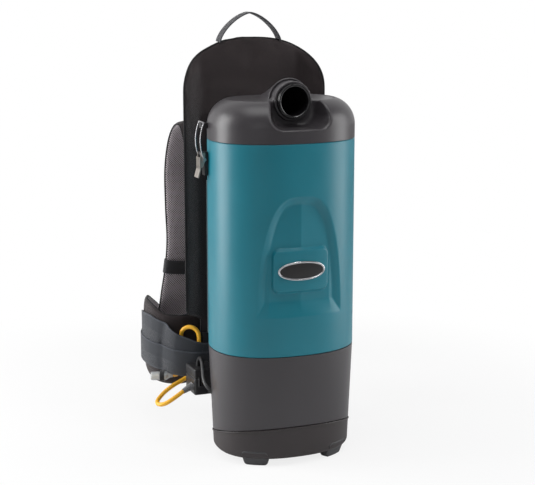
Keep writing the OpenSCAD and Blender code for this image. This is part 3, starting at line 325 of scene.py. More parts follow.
def lay_grid(name: str, net: Net, *finishes: "Finish") -> Piece:
    """Lays a grid over a net of points and welds its seams.

    Args:
        name: Name of the piece.
        net: Where the grid's points go.
        finishes: Finishes, in the order of the net's face numbers.

    Returns:
        The piece, with its place in its mesh.
    """
    rows, columns = net.points.shape[:2]
    obj = added(name, bpy.ops.mesh.primitive_grid_add, x_subdivisions=columns - 1,
                y_subdivisions=rows - 1, size=2)
    paint(obj, *finishes)
    obj.data.vertices.foreach_set("co", to_frame(net.points).ravel())
    if net.uv is not None:
        corners = np.zeros(len(obj.data.loops), np.int32)
        obj.data.loops.foreach_get("vertex_index", corners)
        obj.data.uv_layers[0].data.foreach_set("uv", net.uv.reshape(-1, 2)[corners].ravel())
    if net.faces is not None:
        obj.data.polygons.foreach_set("material_index", net.faces.astype(np.int32).ravel())
    if net.sewn is not None:
        group = obj.vertex_groups.new(name="sewn")
        group.add([int(i) for i in np.flatnonzero(net.sewn)], 1.0, "REPLACE")
    edit(obj, weld)
    return smooth(obj)


def smooth(obj: Piece, degrees: float = 40.0) -> Piece:
    """Shades a piece smooth, apart from edges sharper than an angle.

    Args:
        obj: The piece.
        degrees: The angle.

    Returns:
        The piece.
    """
    select_only(obj)
    bpy.ops.object.shade_smooth_by_angle(angle=math.radians(degrees))
    return obj


def apply(obj: Piece, kind: str, **settings: object) -> Piece:
    """Adds a modifier, sets it and applies it.

    Args:
        obj: The piece.
        kind: Type of the modifier.
        settings: Its settings.

    Returns:
        The piece.
    """
    modifier = obj.modifiers.new(kind.title(), kind)
    for key, value in settings.items():
        setattr(modifier, key, value)
    select_only(obj)
    bpy.ops.object.modifier_apply(modifier=modifier.name)
    return obj


def thicken(obj: Piece, wall: float) -> Piece:
    """Gives an open shell its wall, inwards, with closed rims."""
    return apply(obj, "SOLIDIFY", thickness=wall * MM, offset=-1.0, use_rim=True)


def cut(obj: Piece, cutter: Piece) -> Piece:
    """Cuts a closed piece with another and removes the cutter.

    Args:
        obj: The piece that is cut.
        cutter: The other piece.

    Returns:
        The cut piece.
    """
    apply(obj, "BOOLEAN", operation="DIFFERENCE", object=cutter, solver="EXACT")
    bpy.data.objects.remove(cutter)
    return obj


def joined(name: str, *objects: Piece) -> Piece:
    """Joins pieces into the first one.

    Args:
        name: The whole's name.
        objects: The pieces.

    Returns:
        The first piece, with all the others in it.
    """
    select_only(*objects)
    bpy.ops.object.join()
    return named(objects[0], name)


def block(name: str, low: Sequence[float], high: Sequence[float], bevel: float = 0.0,
          segments: int = 3) -> Piece:
    """A box between two corners with rounded edges.

    Args:
        name: Name of the piece.
        low: Lowest corner.
        high: Highest corner.
        bevel: Rounding of the edges.
        segments: Facets over each rounded edge.

    Returns:
        The piece.
    """
    size = np.subtract(high, low) * MM
    middle = to_frame(np.add(high, low) / 2)
    steps = [
        lambda: bpy.ops.transform.resize(value=tuple(size), center_override=(0, 0, 0)),
        lambda: bpy.ops.transform.translate(value=tuple(middle)),
    ]
    if bevel:
        steps.append(lambda: bpy.ops.mesh.bevel(offset=bevel * MM, segments=segments, affect="EDGES"))
    obj = added(name, bpy.ops.mesh.primitive_cube_add, size=1)
    edit(obj, *steps)
    return smooth(obj, 50)


def drum(name: str, start: Sequence[float], end: Sequence[float], radius: float,
         sides: int = 96) -> Piece:
    """A cylinder between two points.

    Args:
        name: Name of the piece.
        start: Middle of its one end.
        end: Middle of its other end.
        radius: Its radius.
        sides: Facets round it.

    Returns:
        The piece.
    """
    a, b = (Vector(to_frame(p)) for p in (start, end))
    obj = added(name, bpy.ops.mesh.primitive_cylinder_add, vertices=sides, radius=radius * MM,
                depth=(b - a).length, location=(a + b) / 2,
                rotation=(b - a).to_track_quat("Z", "Y").to_euler())
    select_only(obj)
    bpy.ops.object.transform_apply(location=True, rotation=True, scale=True)
    return smooth(obj)


def turned(name: str, profile: Sequence[tuple[float, float]], foot: Sequence[float],
           axis: Sequence[float], *finishes: "Finish", steps: int = 96) -> Piece:
    """A round piece, spun from its closed profile.

    Args:
        name: Name of the piece.
        profile: Radius and distance along the axis of each corner.
        foot: Where the axis starts.
        axis: Direction of the axis.
        finishes: Finishes of the piece.
        steps: Facets round the axis.

    Returns:
        The piece.
    """
    along = unit(np.asarray(axis, float))
    side = unit(np.cross(along, (0.0, 0.0, 1.0)))
    shape = np.array([np.asarray(foot) + r * side + s * along for r, s in profile])
    obj = added(name, bpy.ops.mesh.primitive_circle_add, vertices=len(shape), radius=1,
                fill_type="NOTHING")
    obj.data.vertices.foreach_set("co", to_frame(shape).ravel())
    edit(
        obj,
        lambda: bpy.ops.mesh.spin(steps=steps, angle=math.tau, center=tuple(to_frame(foot)),
                                  axis=tuple(along)),
        lambda: bpy.ops.mesh.select_all(action="SELECT"),
        weld,
        face_out,
    )
    return smooth(paint(obj, *finishes), 32)


# ---------- sections and swept nets ----------


def even_section(sides: int, power: float = 2.0) -> Points:
    """A section of half size one: a circle, or a flattened one with edges at its first and middle point."""
    return squircle(1, 1, power, np.arange(sides) * 360 / sides)


def band_section(half_w: float, half_t: float, across: int = 10) -> Points:
    """A flat band's section with rounded edges.

    Args:
        half_w: Half width of the band.
        half_t: Half thickness of the band.
        across: Stretches over its flat side.

    Returns:
        The section's points, as shares of the half sizes.
    """
    r = half_t * 0.9
    corner = [(half_w - r + r * math.cos(a), half_t - r + r * math.sin(a))
              for a in np.radians([0, 30, 60, 90])]
    middle = [(x, half_t) for x in np.linspace(half_w - r, r - half_w, across + 1)[1:-1]]
    top = [*corner, *middle, *[(-x, y) for x, y in reversed(corner)]]
    return np.array([*top, *[(-x, -y) for x, y in top[1:-1]]]) / (half_w, half_t)


def square_to(directions: Points, ways: Points) -> Points:
    """Directions made square to others, with a length of one."""
    return unit(directions - (directions * ways).sum(1, keepdims=True) * ways)


def carry(line: Points, across: Points, out: Points, section: Points, half_w: Array | float,
          half_t: Array | float, round_it: bool = False) -> Net:
    """A section carried along a line.

    Args:
        line: The line's points.
        across: Direction of the section's width at each of them.
        out: Direction of its thickness at each of them.
        section: Points of the section, for half sizes of one.
        half_w: Half width at each point of the line.
        half_t: Half thickness at each point of the line.
        round_it: Whether the cloth's place is measured round the section, as on a cord.

    Returns:
        The net, closed round the section.
    """
    ring = np.vstack([section, section[:1]])
    wide, thick = (np.broadcast_to(np.asarray(half, float), len(line))[:, None] for half in (half_w, half_t))
    points = (line[:, None] + ring[None, :, :1] * wide[..., None] * across[:, None]
              + ring[None, :, 1:] * thick[..., None] * out[:, None])
    turn = np.arange(len(ring)) / len(section) * math.tau if round_it else ring[:, 0]
    uv = np.stack([turn * wide, np.repeat(lengths(line)[:, None], len(ring), 1)], -1) * MM
    return Net(points, uv)


def sweep(line: Points, across: Points, section: Points, half_w: Array | float,
          half_t: Array | float, round_it: bool = False) -> Net:
    """A section carried along an open line and kept square to it.

    Args:
        line: The line's points.
        across: Rough direction of the section's width, for all points or each.
        section: Points of the section, for half sizes of one.
        half_w: Half width at each point of the line.
        half_t: Half thickness at each point of the line.
        round_it: Whether the cloth's place is measured round the section, as on a cord.

    Returns:
        The net.
    """
    t = tangents(line)
    across = square_to(np.broadcast_to(np.asarray(across, float), line.shape), t)
    return carry(line, across, np.cross(t, across), section, half_w, half_t, round_it)


def sweep_closed(line: Points, section: Points, half_w: float, half_t: float,
                 across: Points | None = None) -> Net:
    """A section carried round a closed line.

    Args:
        line: The line's points, of which the last is the first one.
        section: Points of the section, for half sizes of one.
        half_w: Half width of the section.
        half_t: Half thickness of the section.
        across: Direction of its width. Without it, the width is square to the line's plane.

    Returns:
        The net.
    """
    t = unit(np.roll(line[:-1], -1, 0) - np.roll(line[:-1], 1, 0))
    t = np.vstack([t, t[:1]])
    if across is None:
        across = unit(np.cross(line[len(line) // 3] - line[0], line[2 * len(line) // 3] - line[0]))
    across = square_to(np.broadcast_to(across, line.shape), t)
    return carry(line, across, np.cross(t, across), section, half_w, half_t)


def pillow(x: Array, front: Array, back: Array, z: Array) -> Net:
    """The net of a flat pad that is sewn round its rim.

    Args:
        x: Rows of places across the pad.
        front: y of its front there.
        back: y of its back there.
        z: Height of each row.

    Returns:
        The net, with the front's columns first.
    """
    columns = x.shape[1]
    wide = np.concatenate([x, x[:, -2::-1]], 1)
    deep = np.concatenate([front, back[:, -2::-1]], 1)
    points = np.stack([wide, deep, np.broadcast_to(z, wide.shape)], -1)
    return Net(points, points[..., ::2] * MM).sew((0, -1), (0, columns - 1, -1))


def capped(values: Array) -> Array:
    """Half sizes with a closing value of nothing at each end."""
    return np.concatenate([[0.0], values, [0.0]])


def capped_line(line: Points) -> Points:
    """A line whose two ends are doubled, a hair apart, to carry the caps."""
    t = tangents(line) * 0.02
    return np.vstack([line[:1] - t[:1], line, line[-1:] + t[-1:]])


def steady_across(line: Points) -> Points:
    """A direction across a line that turns no more than the line does.

    Args:
        line: The line's points.

    Returns:
        The direction at each point.
    """
    t = tangents(line)
    side = np.cross(t[0], (0.0, 0.0, 1.0))
    if np.linalg.norm(side) < 0.3:
        side = np.cross(t[0], (0.0, 1.0, 0.0))
    sides = [unit(side)]
    for direction in t[1:]:
        last = sides[-1]
        sides.append(unit(last - np.dot(last, direction) * direction))
    return np.array(sides)


def tube(name: str, line: Points, radius: float, *finishes: "Finish", sides: int = 20,
         closed: bool = False) -> Piece:
    """A round cord, wire or piping along a line.

    Args:
        name: Name of the piece.
        line: The line's points.
        radius: Radius of the cord.
        finishes: Finishes of the piece.
        sides: Facets round it.
        closed: Whether its last point meets its first one.

    Returns:
        The piece.
    """
    section = even_section(sides)
    if closed:
        net = sweep_closed(np.vstack([line, line[:1]]), section, radius, radius)
    else:
        size = capped(np.full(len(line), float(radius)))
        line = capped_line(line)
        net = sweep(line, steady_across(line), section, size, size, round_it=True)
    return lay_grid(name, net, *finishes)


def band(name: str, line: Points, across: Points, half_w: float, half_t: float,
         *finishes: "Finish") -> Piece:
    """A flat strap of webbing along a line.

    Args:
        name: Name of the piece.
        line: The line's points.
        across: Direction of the strap's width.
        half_w: Half width of the strap.
        half_t: Half thickness of the strap.
        finishes: Finishes of the piece.

    Returns:
        The piece.
    """
    thick = capped(np.full(len(line), float(half_t)))
    net = sweep(capped_line(line), across, band_section(half_w, half_t), half_w, thick)
    return lay_grid(name, net, *finishes)


def inflate(obj: Piece, pressure: float, cap: float, frames: int = 16) -> Piece:
    """Blows a padded piece up between its sewn lines as cloth, and keeps the result.

    Args:
        obj: The piece, with its sewn points in a vertex group.
        pressure: Pressure inside the cover.
        cap: How far a point may move.
        frames: How long the cloth is let move.

    Returns:
        The piece, with no cloth left on it.
    """
    start = np.zeros(len(obj.data.vertices) * 3)
    obj.data.vertices.foreach_get("co", start)
    cloth = obj.modifiers.new("Cloth", "CLOTH")
    cloth.settings.use_pressure = True
    cloth.settings.uniform_pressure_force = pressure
    cloth.settings.vertex_group_mass = "sewn"
    cloth.settings.tension_stiffness = 20
    cloth.settings.effector_weights.gravity = 0
    cloth.collision_settings.use_collision = False
    scene = bpy.context.scene
    for number in range(1, frames + 1):
        scene.frame_set(number)
    blown = obj.evaluated_get(bpy.context.evaluated_depsgraph_get())
    end = np.zeros_like(start)
    blown.data.vertices.foreach_get("co", end)
    obj.modifiers.remove(cloth)
    scene.frame_set(1)
    move = (end - start).reshape(-1, 3)
    far = np.maximum(np.linalg.norm(move, axis=1, keepdims=True), TINY)
    move *= cap * MM * np.tanh(far / (cap * MM)) / far
    obj.data.vertices.foreach_set("co", start + move.ravel())
    obj.data.update()
    return obj


def install(obj: Piece, body: str, slot: str, *replaced: str, fill: float | None = None) -> Piece:
    """Puts a finished piece on its body and reports it.

    Args:
        obj: The piece.
        body: Body that it moves with.
        slot: Not used.
        replaced: Nodes that it stands for.
        fill: How full a padded piece is; not used.

    Returns:
        The piece.
    """
    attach(obj, body)
    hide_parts(*replaced)
    LOG.info("%s: %d faces on %s", obj.name, len(obj.data.polygons), body)
    return obj


# ---------- finishes ----------


def srgb(red: float, green: float, blue: float) -> Colour:
    """A colour of 0 to 255 as scene-linear numbers."""
    parts = [c / 255 for c in (red, green, blue)]
    return (*[c / 12.92 if c <= 0.04045 else ((c + 0.055) / 1.055) ** 2.4 for c in parts], 1.0)


def tint(colour: Colour, share: float) -> Colour:
    """A colour made lighter or darker by a share."""
    return (*[min(1.0, c * share) for c in colour[:3]], 1.0)


class Term:
    """A value in a material. Python's arithmetic on it adds Math nodes."""

    def __init__(self, recipe: "Recipe", socket: bpy.types.NodeSocket) -> None:
        """Wraps a socket of a recipe."""
        self.recipe = recipe
        self.socket = socket

    def _math(self, operation: str, first: object, second: object = 0.0) -> "Term":
        """One Math node on two values."""
        made = self.recipe.node("ShaderNodeMath", {"operation": operation}, {0: first, 1: second})
        return Term(self.recipe, made.outputs[0])

    def __add__(self, other: object) -> "Term":
        """self + other"""
        return self._math("ADD", self, other)

    def __radd__(self, other: object) -> "Term":
        """other + self"""
        return self._math("ADD", other, self)

    def __sub__(self, other: object) -> "Term":
        """self - other"""
        return self._math("SUBTRACT", self, other)

    def __rsub__(self, other: object) -> "Term":
        """other - self"""
        return self._math("SUBTRACT", other, self)

    def __mul__(self, other: object) -> "Term":
        """self * other"""
        return self._math("MULTIPLY", self, other)

    def __rmul__(self, other: object) -> "Term":
        """other * self"""
        return self._math("MULTIPLY", other, self)

    def __pow__(self, other: object) -> "Term":
        """self ** other"""
        return self._math("POWER", self, other)

    def __abs__(self) -> "Term":
        """abs(self)"""
        return self._math("ABSOLUTE", self)

    def sine(self) -> "Term":
        """The sine of the value."""
        return self._math("SINE", self)

    def over(self, low: float, high: float) -> "Term":
        """A smooth step that rises from 0 at low to 1 at high.

        Args:
            low: Where the step starts.
            high: Where it ends.

        Returns:
            The step.
        """
        made = self.recipe.node("ShaderNodeMapRange", {"interpolation_type": "SMOOTHSTEP"},
                                {0: self, 1: low, 2: high})
        return Term(self.recipe, made.outputs[0])


class Place(Enum):
    """What a pattern is laid out on."""

    SOLID = "Object"
    CLOTH = "UV"


class Recipe:
    """Nodes of one material."""

    def __init__(self, name: str) -> None:
        """Starts a material with a shader and an output.

        Args:
            name: Name of the material.
        """
        self.material = bpy.data.materials.new(name)
        self.material.use_nodes = True
        self.tree = self.material.node_tree
        self.tree.nodes.clear()
        output = self.node("ShaderNodeOutputMaterial")
        self.shader = self.node("ShaderNodeBsdfPrincipled")
        self.tree.links.new(self.shader.outputs[0], output.inputs[0])

    @classmethod
    def within(cls, tree: bpy.types.NodeTree) -> "Recipe":
        """Starts from a tree that is there already.

        Args:
            tree: The tree.

        Returns:
            A recipe that adds its nodes to it.
        """
        recipe = cls.__new__(cls)
        recipe.tree = tree
        return recipe

    def node(self, kind: str, settings: dict[str, object] | None = None,
             inputs: dict[int | str, object] | None = None) -> bpy.types.Node:
        """Adds a node.

        Args:
            kind: Type of the node.
            settings: Its own settings.
            inputs: Values or links of its sockets.

        Returns:
            The node.
        """
        made = self.tree.nodes.new(kind)
        for key, value in (settings or {}).items():
            setattr(made, key, value)
        for key, value in (inputs or {}).items():
            self.feed(made.inputs[key], value)
        return made

    def feed(self, socket: bpy.types.NodeSocket, value: object) -> None:
        """Links a value to a socket, or sets it there.

        Args:
            socket: The socket.
            value: A term, a socket or a plain value.
        """
        if isinstance(value, Term):
            value = value.socket
        if isinstance(value, bpy.types.NodeSocket):
            self.tree.links.new(value, socket)
        else:
            socket.default_value = value

    def place(self, kind: Place) -> bpy.types.NodeSocket:
        """Coordinates of a pattern."""
        return self.node("ShaderNodeTexCoord").outputs[kind.value]

    def split(self, vector: bpy.types.NodeSocket) -> tuple[Term, Term, Term]:
        """The three parts of a vector as values."""
        made = self.node("ShaderNodeSeparateXYZ", None, {0: vector})
        return tuple(Term(self, socket) for socket in made.outputs)

    def axes(self, kind: Place) -> tuple[Term, Term, Term]:
        """The three coordinates of a pattern as values."""
        return self.split(self.place(kind))

    def noise(self, kind: Place, grain: float, detail: float = 2.0, stretch: float = 1.0) -> Term:
        """Noise whose blots are grain millimetres wide, and longer along the second axis.

        Args:
            kind: What the noise is laid out on.
            grain: Width of its blots.
            detail: Octaves of finer noise.
            stretch: How much longer than wide they are.

        Returns:
            The noise, from 0 to 1.
        """
        scaled = self.node("ShaderNodeMapping", None,
                           {0: self.place(kind), 3: (1.0, 1.0 / stretch, 1.0)})
        made = self.node("ShaderNodeTexNoise", None,
                         {"Vector": scaled.outputs[0], "Scale": 1000 / grain, "Detail": detail})
        return Term(self, made.outputs[0])

    def mix(self, factor: object, first: object, second: object) -> bpy.types.NodeSocket:
        """A blend of two colours."""
        made = self.node("ShaderNodeMix", {"data_type": "RGBA"}, {0: factor, 6: first, 7: second})
        return made.outputs[2]

    def bump(self, height: Term, depth: float) -> None:
        """Raises the surface by height times depth millimetres."""
        made = self.node("ShaderNodeBump", None, {"Height": height, "Distance": depth * MM, "Strength": 1.0})
        self.set(Normal=made.outputs[0])

    def set(self, **values: object) -> None:
        """Sets sockets of the shader, named with underscores for spaces."""
        for key, value in values.items():
            self.feed(self.shader.inputs[key.replace("_", " ")], value)


@dataclass(frozen=True)
class Finish:
    """A surface finish, made as one material the first time it is used."""

    name: str
    colour: Colour

    def material(self) -> bpy.types.Material:
        """Makes the material, or finds it.

        Returns:
            The finish's material.
        """
        found = bpy.data.materials.get(f"{self.name}_finish")
        if found:
            return found
        recipe = Recipe(f"{self.name}_finish")
        self.mix_into(recipe)
        return recipe.material

    def mix_into(self, recipe: Recipe) -> None:
        """Adds the finish's nodes to a recipe."""
        raise NotImplementedError


@dataclass(frozen=True)
class Moulded(Finish):
    """Moulded plastic or rubber with a fine grain."""

    roughness: float = 0.4
    grain: float = 0.7
    depth: float = 0.02
    coat: float = 0.0

    def mix_into(self, recipe: Recipe) -> None:
        """Slight blotches in colour and gloss over a fine moulded grain.

        Args:
            recipe: The recipe that takes its nodes.
        """
        blotch = recipe.noise(Place.SOLID, 60, 3)
        fine = recipe.noise(Place.SOLID, self.grain, 1)
        recipe.set(
            Base_Color=recipe.mix(blotch, tint(self.colour, 0.93), tint(self.colour, 1.07)),
            Roughness=self.roughness + 0.1 * (blotch - 0.5) + 0.08 * (fine - 0.5),
            Coat_Weight=self.coat, Coat_Roughness=0.12)
        recipe.bump(fine + 0.5 * recipe.noise(Place.SOLID, 9, 1), self.depth)


@dataclass(frozen=True)
class Metal(Finish):
    """Bright or brushed metal."""

    roughness: float = 0.3
    brush: float = 6.0

    def mix_into(self, recipe: Recipe) -> None:
        """Long brush marks and slight stains.

        Args:
            recipe: The recipe that takes its nodes.
        """
        marks = recipe.noise(Place.SOLID, 0.5, 2, self.brush)
        stain = recipe.noise(Place.SOLID, 14, 3)
        recipe.set(
            Base_Color=recipe.mix(stain, tint(self.colour, 0.85), tint(self.colour, 1.1)),
            Roughness=self.roughness + 0.25 * (marks - 0.5) + 0.1 * (stain - 0.5), Metallic=1.0)
        recipe.bump(marks, 0.015)


@dataclass(frozen=True)
class Cloth(Finish):
    """Woven nylon cover."""

    pitch: float = 1.3
    sheen: float = 0.25

    def mix_into(self, recipe: Recipe) -> None:
        """A plain weave with uneven yarns, faded patches and a soft sheen.

        Args:
            recipe: The recipe that takes its nodes.
        """
        u, v, _ = recipe.axes(Place.CLOTH)
        turn = math.tau * 1000 / self.pitch
        weave = (u * turn).sine() * (v * turn).sine()
        slub = recipe.noise(Place.CLOTH, 2.2, 2, 5)
        patch = recipe.noise(Place.CLOTH, 45, 3)
        shade = 0.45 * patch + 0.35 * slub + 0.1 * (weave + 1)
        recipe.set(
            Base_Color=recipe.mix(shade, tint(self.colour, 0.55), tint(self.colour, 1.5)),
            Roughness=0.78 + 0.1 * (slub - 0.5), Sheen_Weight=self.sheen, Sheen_Roughness=0.4,
            Specular_IOR_Level=0.25)
        recipe.bump(weave + 1.5 * slub + 2.5 * patch, 0.18)


@dataclass(frozen=True)
class Netting(Finish):
    """Spacer mesh: light threads round slanted dark holes."""

    hole: Colour = (0.008, 0.008, 0.008, 1.0)
    pitch: float = 4.6

    def mix_into(self, recipe: Recipe) -> None:
        """Slanted rows of holes in a knitted face.

        Args:
            recipe: The recipe that takes its nodes.
        """
        u, v, _ = recipe.axes(Place.CLOTH)
        turn = math.pi * 1000 / self.pitch
        wave = ((u + v) * turn).sine() * ((u - v) * turn).sine()
        hole = abs(wave).over(0.25, 0.75)
        thread = recipe.noise(Place.CLOTH, 1.1, 2)
        patch = recipe.noise(Place.CLOTH, 38, 3)
        light = recipe.mix(0.6 * thread + 0.4 * patch, tint(self.colour, 0.6), tint(self.colour, 1.35))
        recipe.set(Base_Color=recipe.mix(hole * 0.92, light, self.hole),
                   Roughness=0.8 + 0.15 * hole, Specular_IOR_Level=0.2, Sheen_Weight=0.15)
        recipe.bump((1 - hole) + 0.4 * thread, 0.5)


@dataclass(frozen=True)
class Webbing(Finish):
    """Flat woven strap with ribs along it and firmer, lighter edges."""

    half_w: float = 25.0
    rib_pitch: float = 2.6
    line_pitch: float = 2.1
    selvedge: tuple[float, float] = (3.4, 2.2)

    def mix_into(self, recipe: Recipe) -> None:
        """Slanted ribs that meet at the middle, and a selvedge at both edges.

        Args:
            recipe: The recipe that takes its nodes.
        """
        u, v, _ = recipe.axes(Place.CLOTH)
        rib = ((abs(u) * 2.0 + v) * (math.tau * 1000 / self.rib_pitch)).sine()
        line = (u * (math.tau * 1000 / self.line_pitch)).sine()
        edge = abs(u).over(*[(self.half_w - inset) * MM for inset in self.selvedge])
        wear = recipe.noise(Place.CLOTH, 26, 3)
        shade = 0.3 * wear + 0.14 * (rib + 1) + 0.1 * (line + 1)
        woven = recipe.mix(shade, tint(self.colour, 0.6), tint(self.colour, 1.5))
        recipe.set(Base_Color=recipe.mix(edge * 0.55, woven, tint(self.colour, 2.0)),
                   Roughness=0.62 + 0.15 * wear, Sheen_Weight=0.3, Sheen_Roughness=0.35,
                   Specular_IOR_Level=0.35)
        recipe.bump(rib + line + 1.5 * edge, 0.16)


@dataclass(frozen=True)
class Jacket(Finish):
    """Extruded cord jacket."""

    def mix_into(self, recipe: Recipe) -> None:
        """Smooth rubber with faint dirt and the strands just showing through.

        Args:
            recipe: The recipe that takes its nodes.
        """
        dirt = recipe.noise(Place.CLOTH, 12, 3)
        strand = recipe.noise(Place.CLOTH, 3, 1, 6)
        recipe.set(Base_Color=recipe.mix(dirt, tint(self.colour, 0.86), tint(self.colour, 1.06)),
                   Roughness=0.42 + 0.15 * (dirt - 0.5))
        recipe.bump(strand, 0.12)


@dataclass(frozen=True)
class Clear(Finish):
    """Milky clear plastic."""

    milk: float = 0.45

    def mix_into(self, recipe: Recipe) -> None:
        """Clear plastic with clouded streaks.

        Args:
            recipe: The recipe that takes its nodes.
        """
        cloud = recipe.noise(Place.SOLID, 5, 3)
        recipe.set(
            Base_Color=recipe.mix(cloud, tint(self.colour, 0.9), self.colour),
            Roughness=0.14 + 0.12 * cloud, Transmission_Weight=1 - self.milk, IOR=1.42)
        recipe.bump(cloud, 0.06)


@dataclass(frozen=True)
class Fibre(Finish):
    """Paper, card, felt or foam."""

    grain: float = 1.2
    depth: float = 0.15

    def mix_into(self, recipe: Recipe) -> None:
        """Fibres and pores at the stated grain.

        Args:
            recipe: The recipe that takes its nodes.
        """
        fine = recipe.noise(Place.SOLID, self.grain, 3)
        blot = recipe.noise(Place.SOLID, 22, 2)
        recipe.set(
            Base_Color=recipe.mix(0.6 * fine + 0.4 * blot, tint(self.colour, 0.8), tint(self.colour, 1.12)),
            Roughness=0.9 - 0.1 * fine, Specular_IOR_Level=0.2)
        recipe.bump(fine, self.depth)


TEAL = Moulded("teal_shell", srgb(8, 112, 128), roughness=0.4, depth=0.012)
CHARCOAL = Moulded("charcoal_shell", srgb(56, 53, 56), roughness=0.36, depth=0.012)
BASE_BLACK = Moulded("base_black", srgb(43, 37, 38), roughness=0.5)
FOOT_GREY = Moulded("foot_grey", srgb(58, 58, 60), roughness=0.55)
BLACK_PLASTIC = Moulded("black_plastic", srgb(34, 33, 35), roughness=0.38)
GLOSS_BLACK = Moulded("gloss_black", srgb(22, 21, 23), roughness=0.24, depth=0.008, coat=0.2)
BADGE_FACE = Moulded("badge_face", srgb(24, 22, 24), roughness=0.32, depth=0.008, coat=0.1)
BADGE_RIM = Metal("badge_rim", srgb(196, 197, 200), roughness=0.2)
TRIM_GREY = Moulded("trim_grey", srgb(150, 152, 154), roughness=0.35)
LATCH_GREY = Metal("latch_grey", srgb(165, 158, 150), roughness=0.34)
STEEL = Metal("steel", srgb(176, 176, 178), roughness=0.26)
CAN_METAL = Metal("can_metal", srgb(160, 162, 166), roughness=0.34)
COPPER = Metal("copper", srgb(198, 118, 76), roughness=0.3)
BRASS = Metal("brass", srgb(205, 178, 106), roughness=0.25)
CARBON = Fibre("carbon", srgb(38, 38, 40), grain=0.8)
RUBBER = Moulded("rubber", srgb(28, 28, 29), roughness=0.62, grain=1.1)
RELIEF_GREY = Moulded("relief_grey", srgb(112, 112, 114), roughness=0.55)
FOAM = Fibre("foam", srgb(70, 70, 74), grain=2.4, depth=0.6)
PLEATED_PAPER = Fibre("pleated_paper", srgb(232, 232, 226), grain=2.0)
FILTER_CLOTH = Cloth("filter_cloth", srgb(120, 122, 128), pitch=1.6)
CARD = Fibre("card", srgb(182, 148, 104), grain=1.6)
BAG_PAPER = Fibre("bag_paper", srgb(214, 196, 160), grain=2.6)
NYLON = Cloth("black_fabric", srgb(46, 39, 40))
PIPING = Cloth("black_piping", srgb(26, 24, 26), pitch=0.9, sheen=0.15)
GREY_PIPING = Cloth("grey_piping", srgb(126, 126, 130), pitch=0.9, sheen=0.15)
MESH = Netting("grey_mesh", srgb(176, 168, 172))
WIDE_WEBBING = Webbing("wide_webbing", srgb(52, 55, 61), half_w=25)
NARROW_WEBBING = Webbing("narrow_webbing", srgb(44, 44, 48), half_w=12.5)
SLIDER_WEBBING = Webbing("slider_webbing", srgb(38, 38, 41), half_w=14)
ELASTIC = Webbing("elastic", srgb(26, 26, 28), half_w=4.5)
YELLOW_JACKET = Jacket("cord_jacket", srgb(248, 184, 44))
BLACK_JACKET = Jacket("lead_jacket", srgb(24, 24, 26))
MILKY = Clear("clear_plastic", srgb(236, 238, 238))

NODE_FINISH: dict[Finish, tuple[str, ...]] = {
    TRIM_GREY: ("tank_trim",),
    BLACK_PLASTIC: ("motor_deck", "bag_bridge", "lid_keepers", "latch_bases", "frame_brackets",
                    "harness_board", "ladder_locks"),
    GLOSS_BLACK: ("inlet_bushing", "inlet_elbow"),
    LATCH_GREY: ("latch_lever_left", "latch_lever_right"),
    STEEL: ("latch_bail_left", "latch_bail_right", "screws", "field_can", "bearings", "motor_shaft"),
    CAN_METAL: ("fan_shroud", "impellers"),
    COPPER: ("armature", "commutator"),
    CARBON: ("brushes",),
    RUBBER: ("motor_mounts", "lid_gasket", "lead_grommet"),
    FOAM: ("exhaust_foam",),
    PLEATED_PAPER: ("hepa_filter",),
    CARD: ("bag_collar",),
    BRASS: ("plug_blades",),
}


# ---------- camera and studio ----------


@dataclass(frozen=True)
class Softbox:
    """An area lamp, by its azimuth as seen from above, that faces the middle of the object."""

    name: str
    azimuth: float
    height: float
    distance: float
    width: float
    length: float
    power: float
    aim: Place3 = (0.0, 40.0, 380.0)

    def build(self) -> None:
        """Adds the lamp."""
        turn = math.radians(self.azimuth)
        plan = (self.distance * math.sin(turn), -self.distance * math.cos(turn))
        place = Vector(to_frame((*plan, self.height)))
        lamp = added(self.name, bpy.ops.object.light_add, type="AREA", location=place)
        lamp.data.shape = "RECTANGLE"
        lamp.data.size = self.width * MM
        lamp.data.size_y = self.length * MM
        lamp.data.energy = self.power
        lamp.rotation_euler = (Vector(to_frame(self.aim)) - place).to_track_quat("-Z", "Y").to_euler()


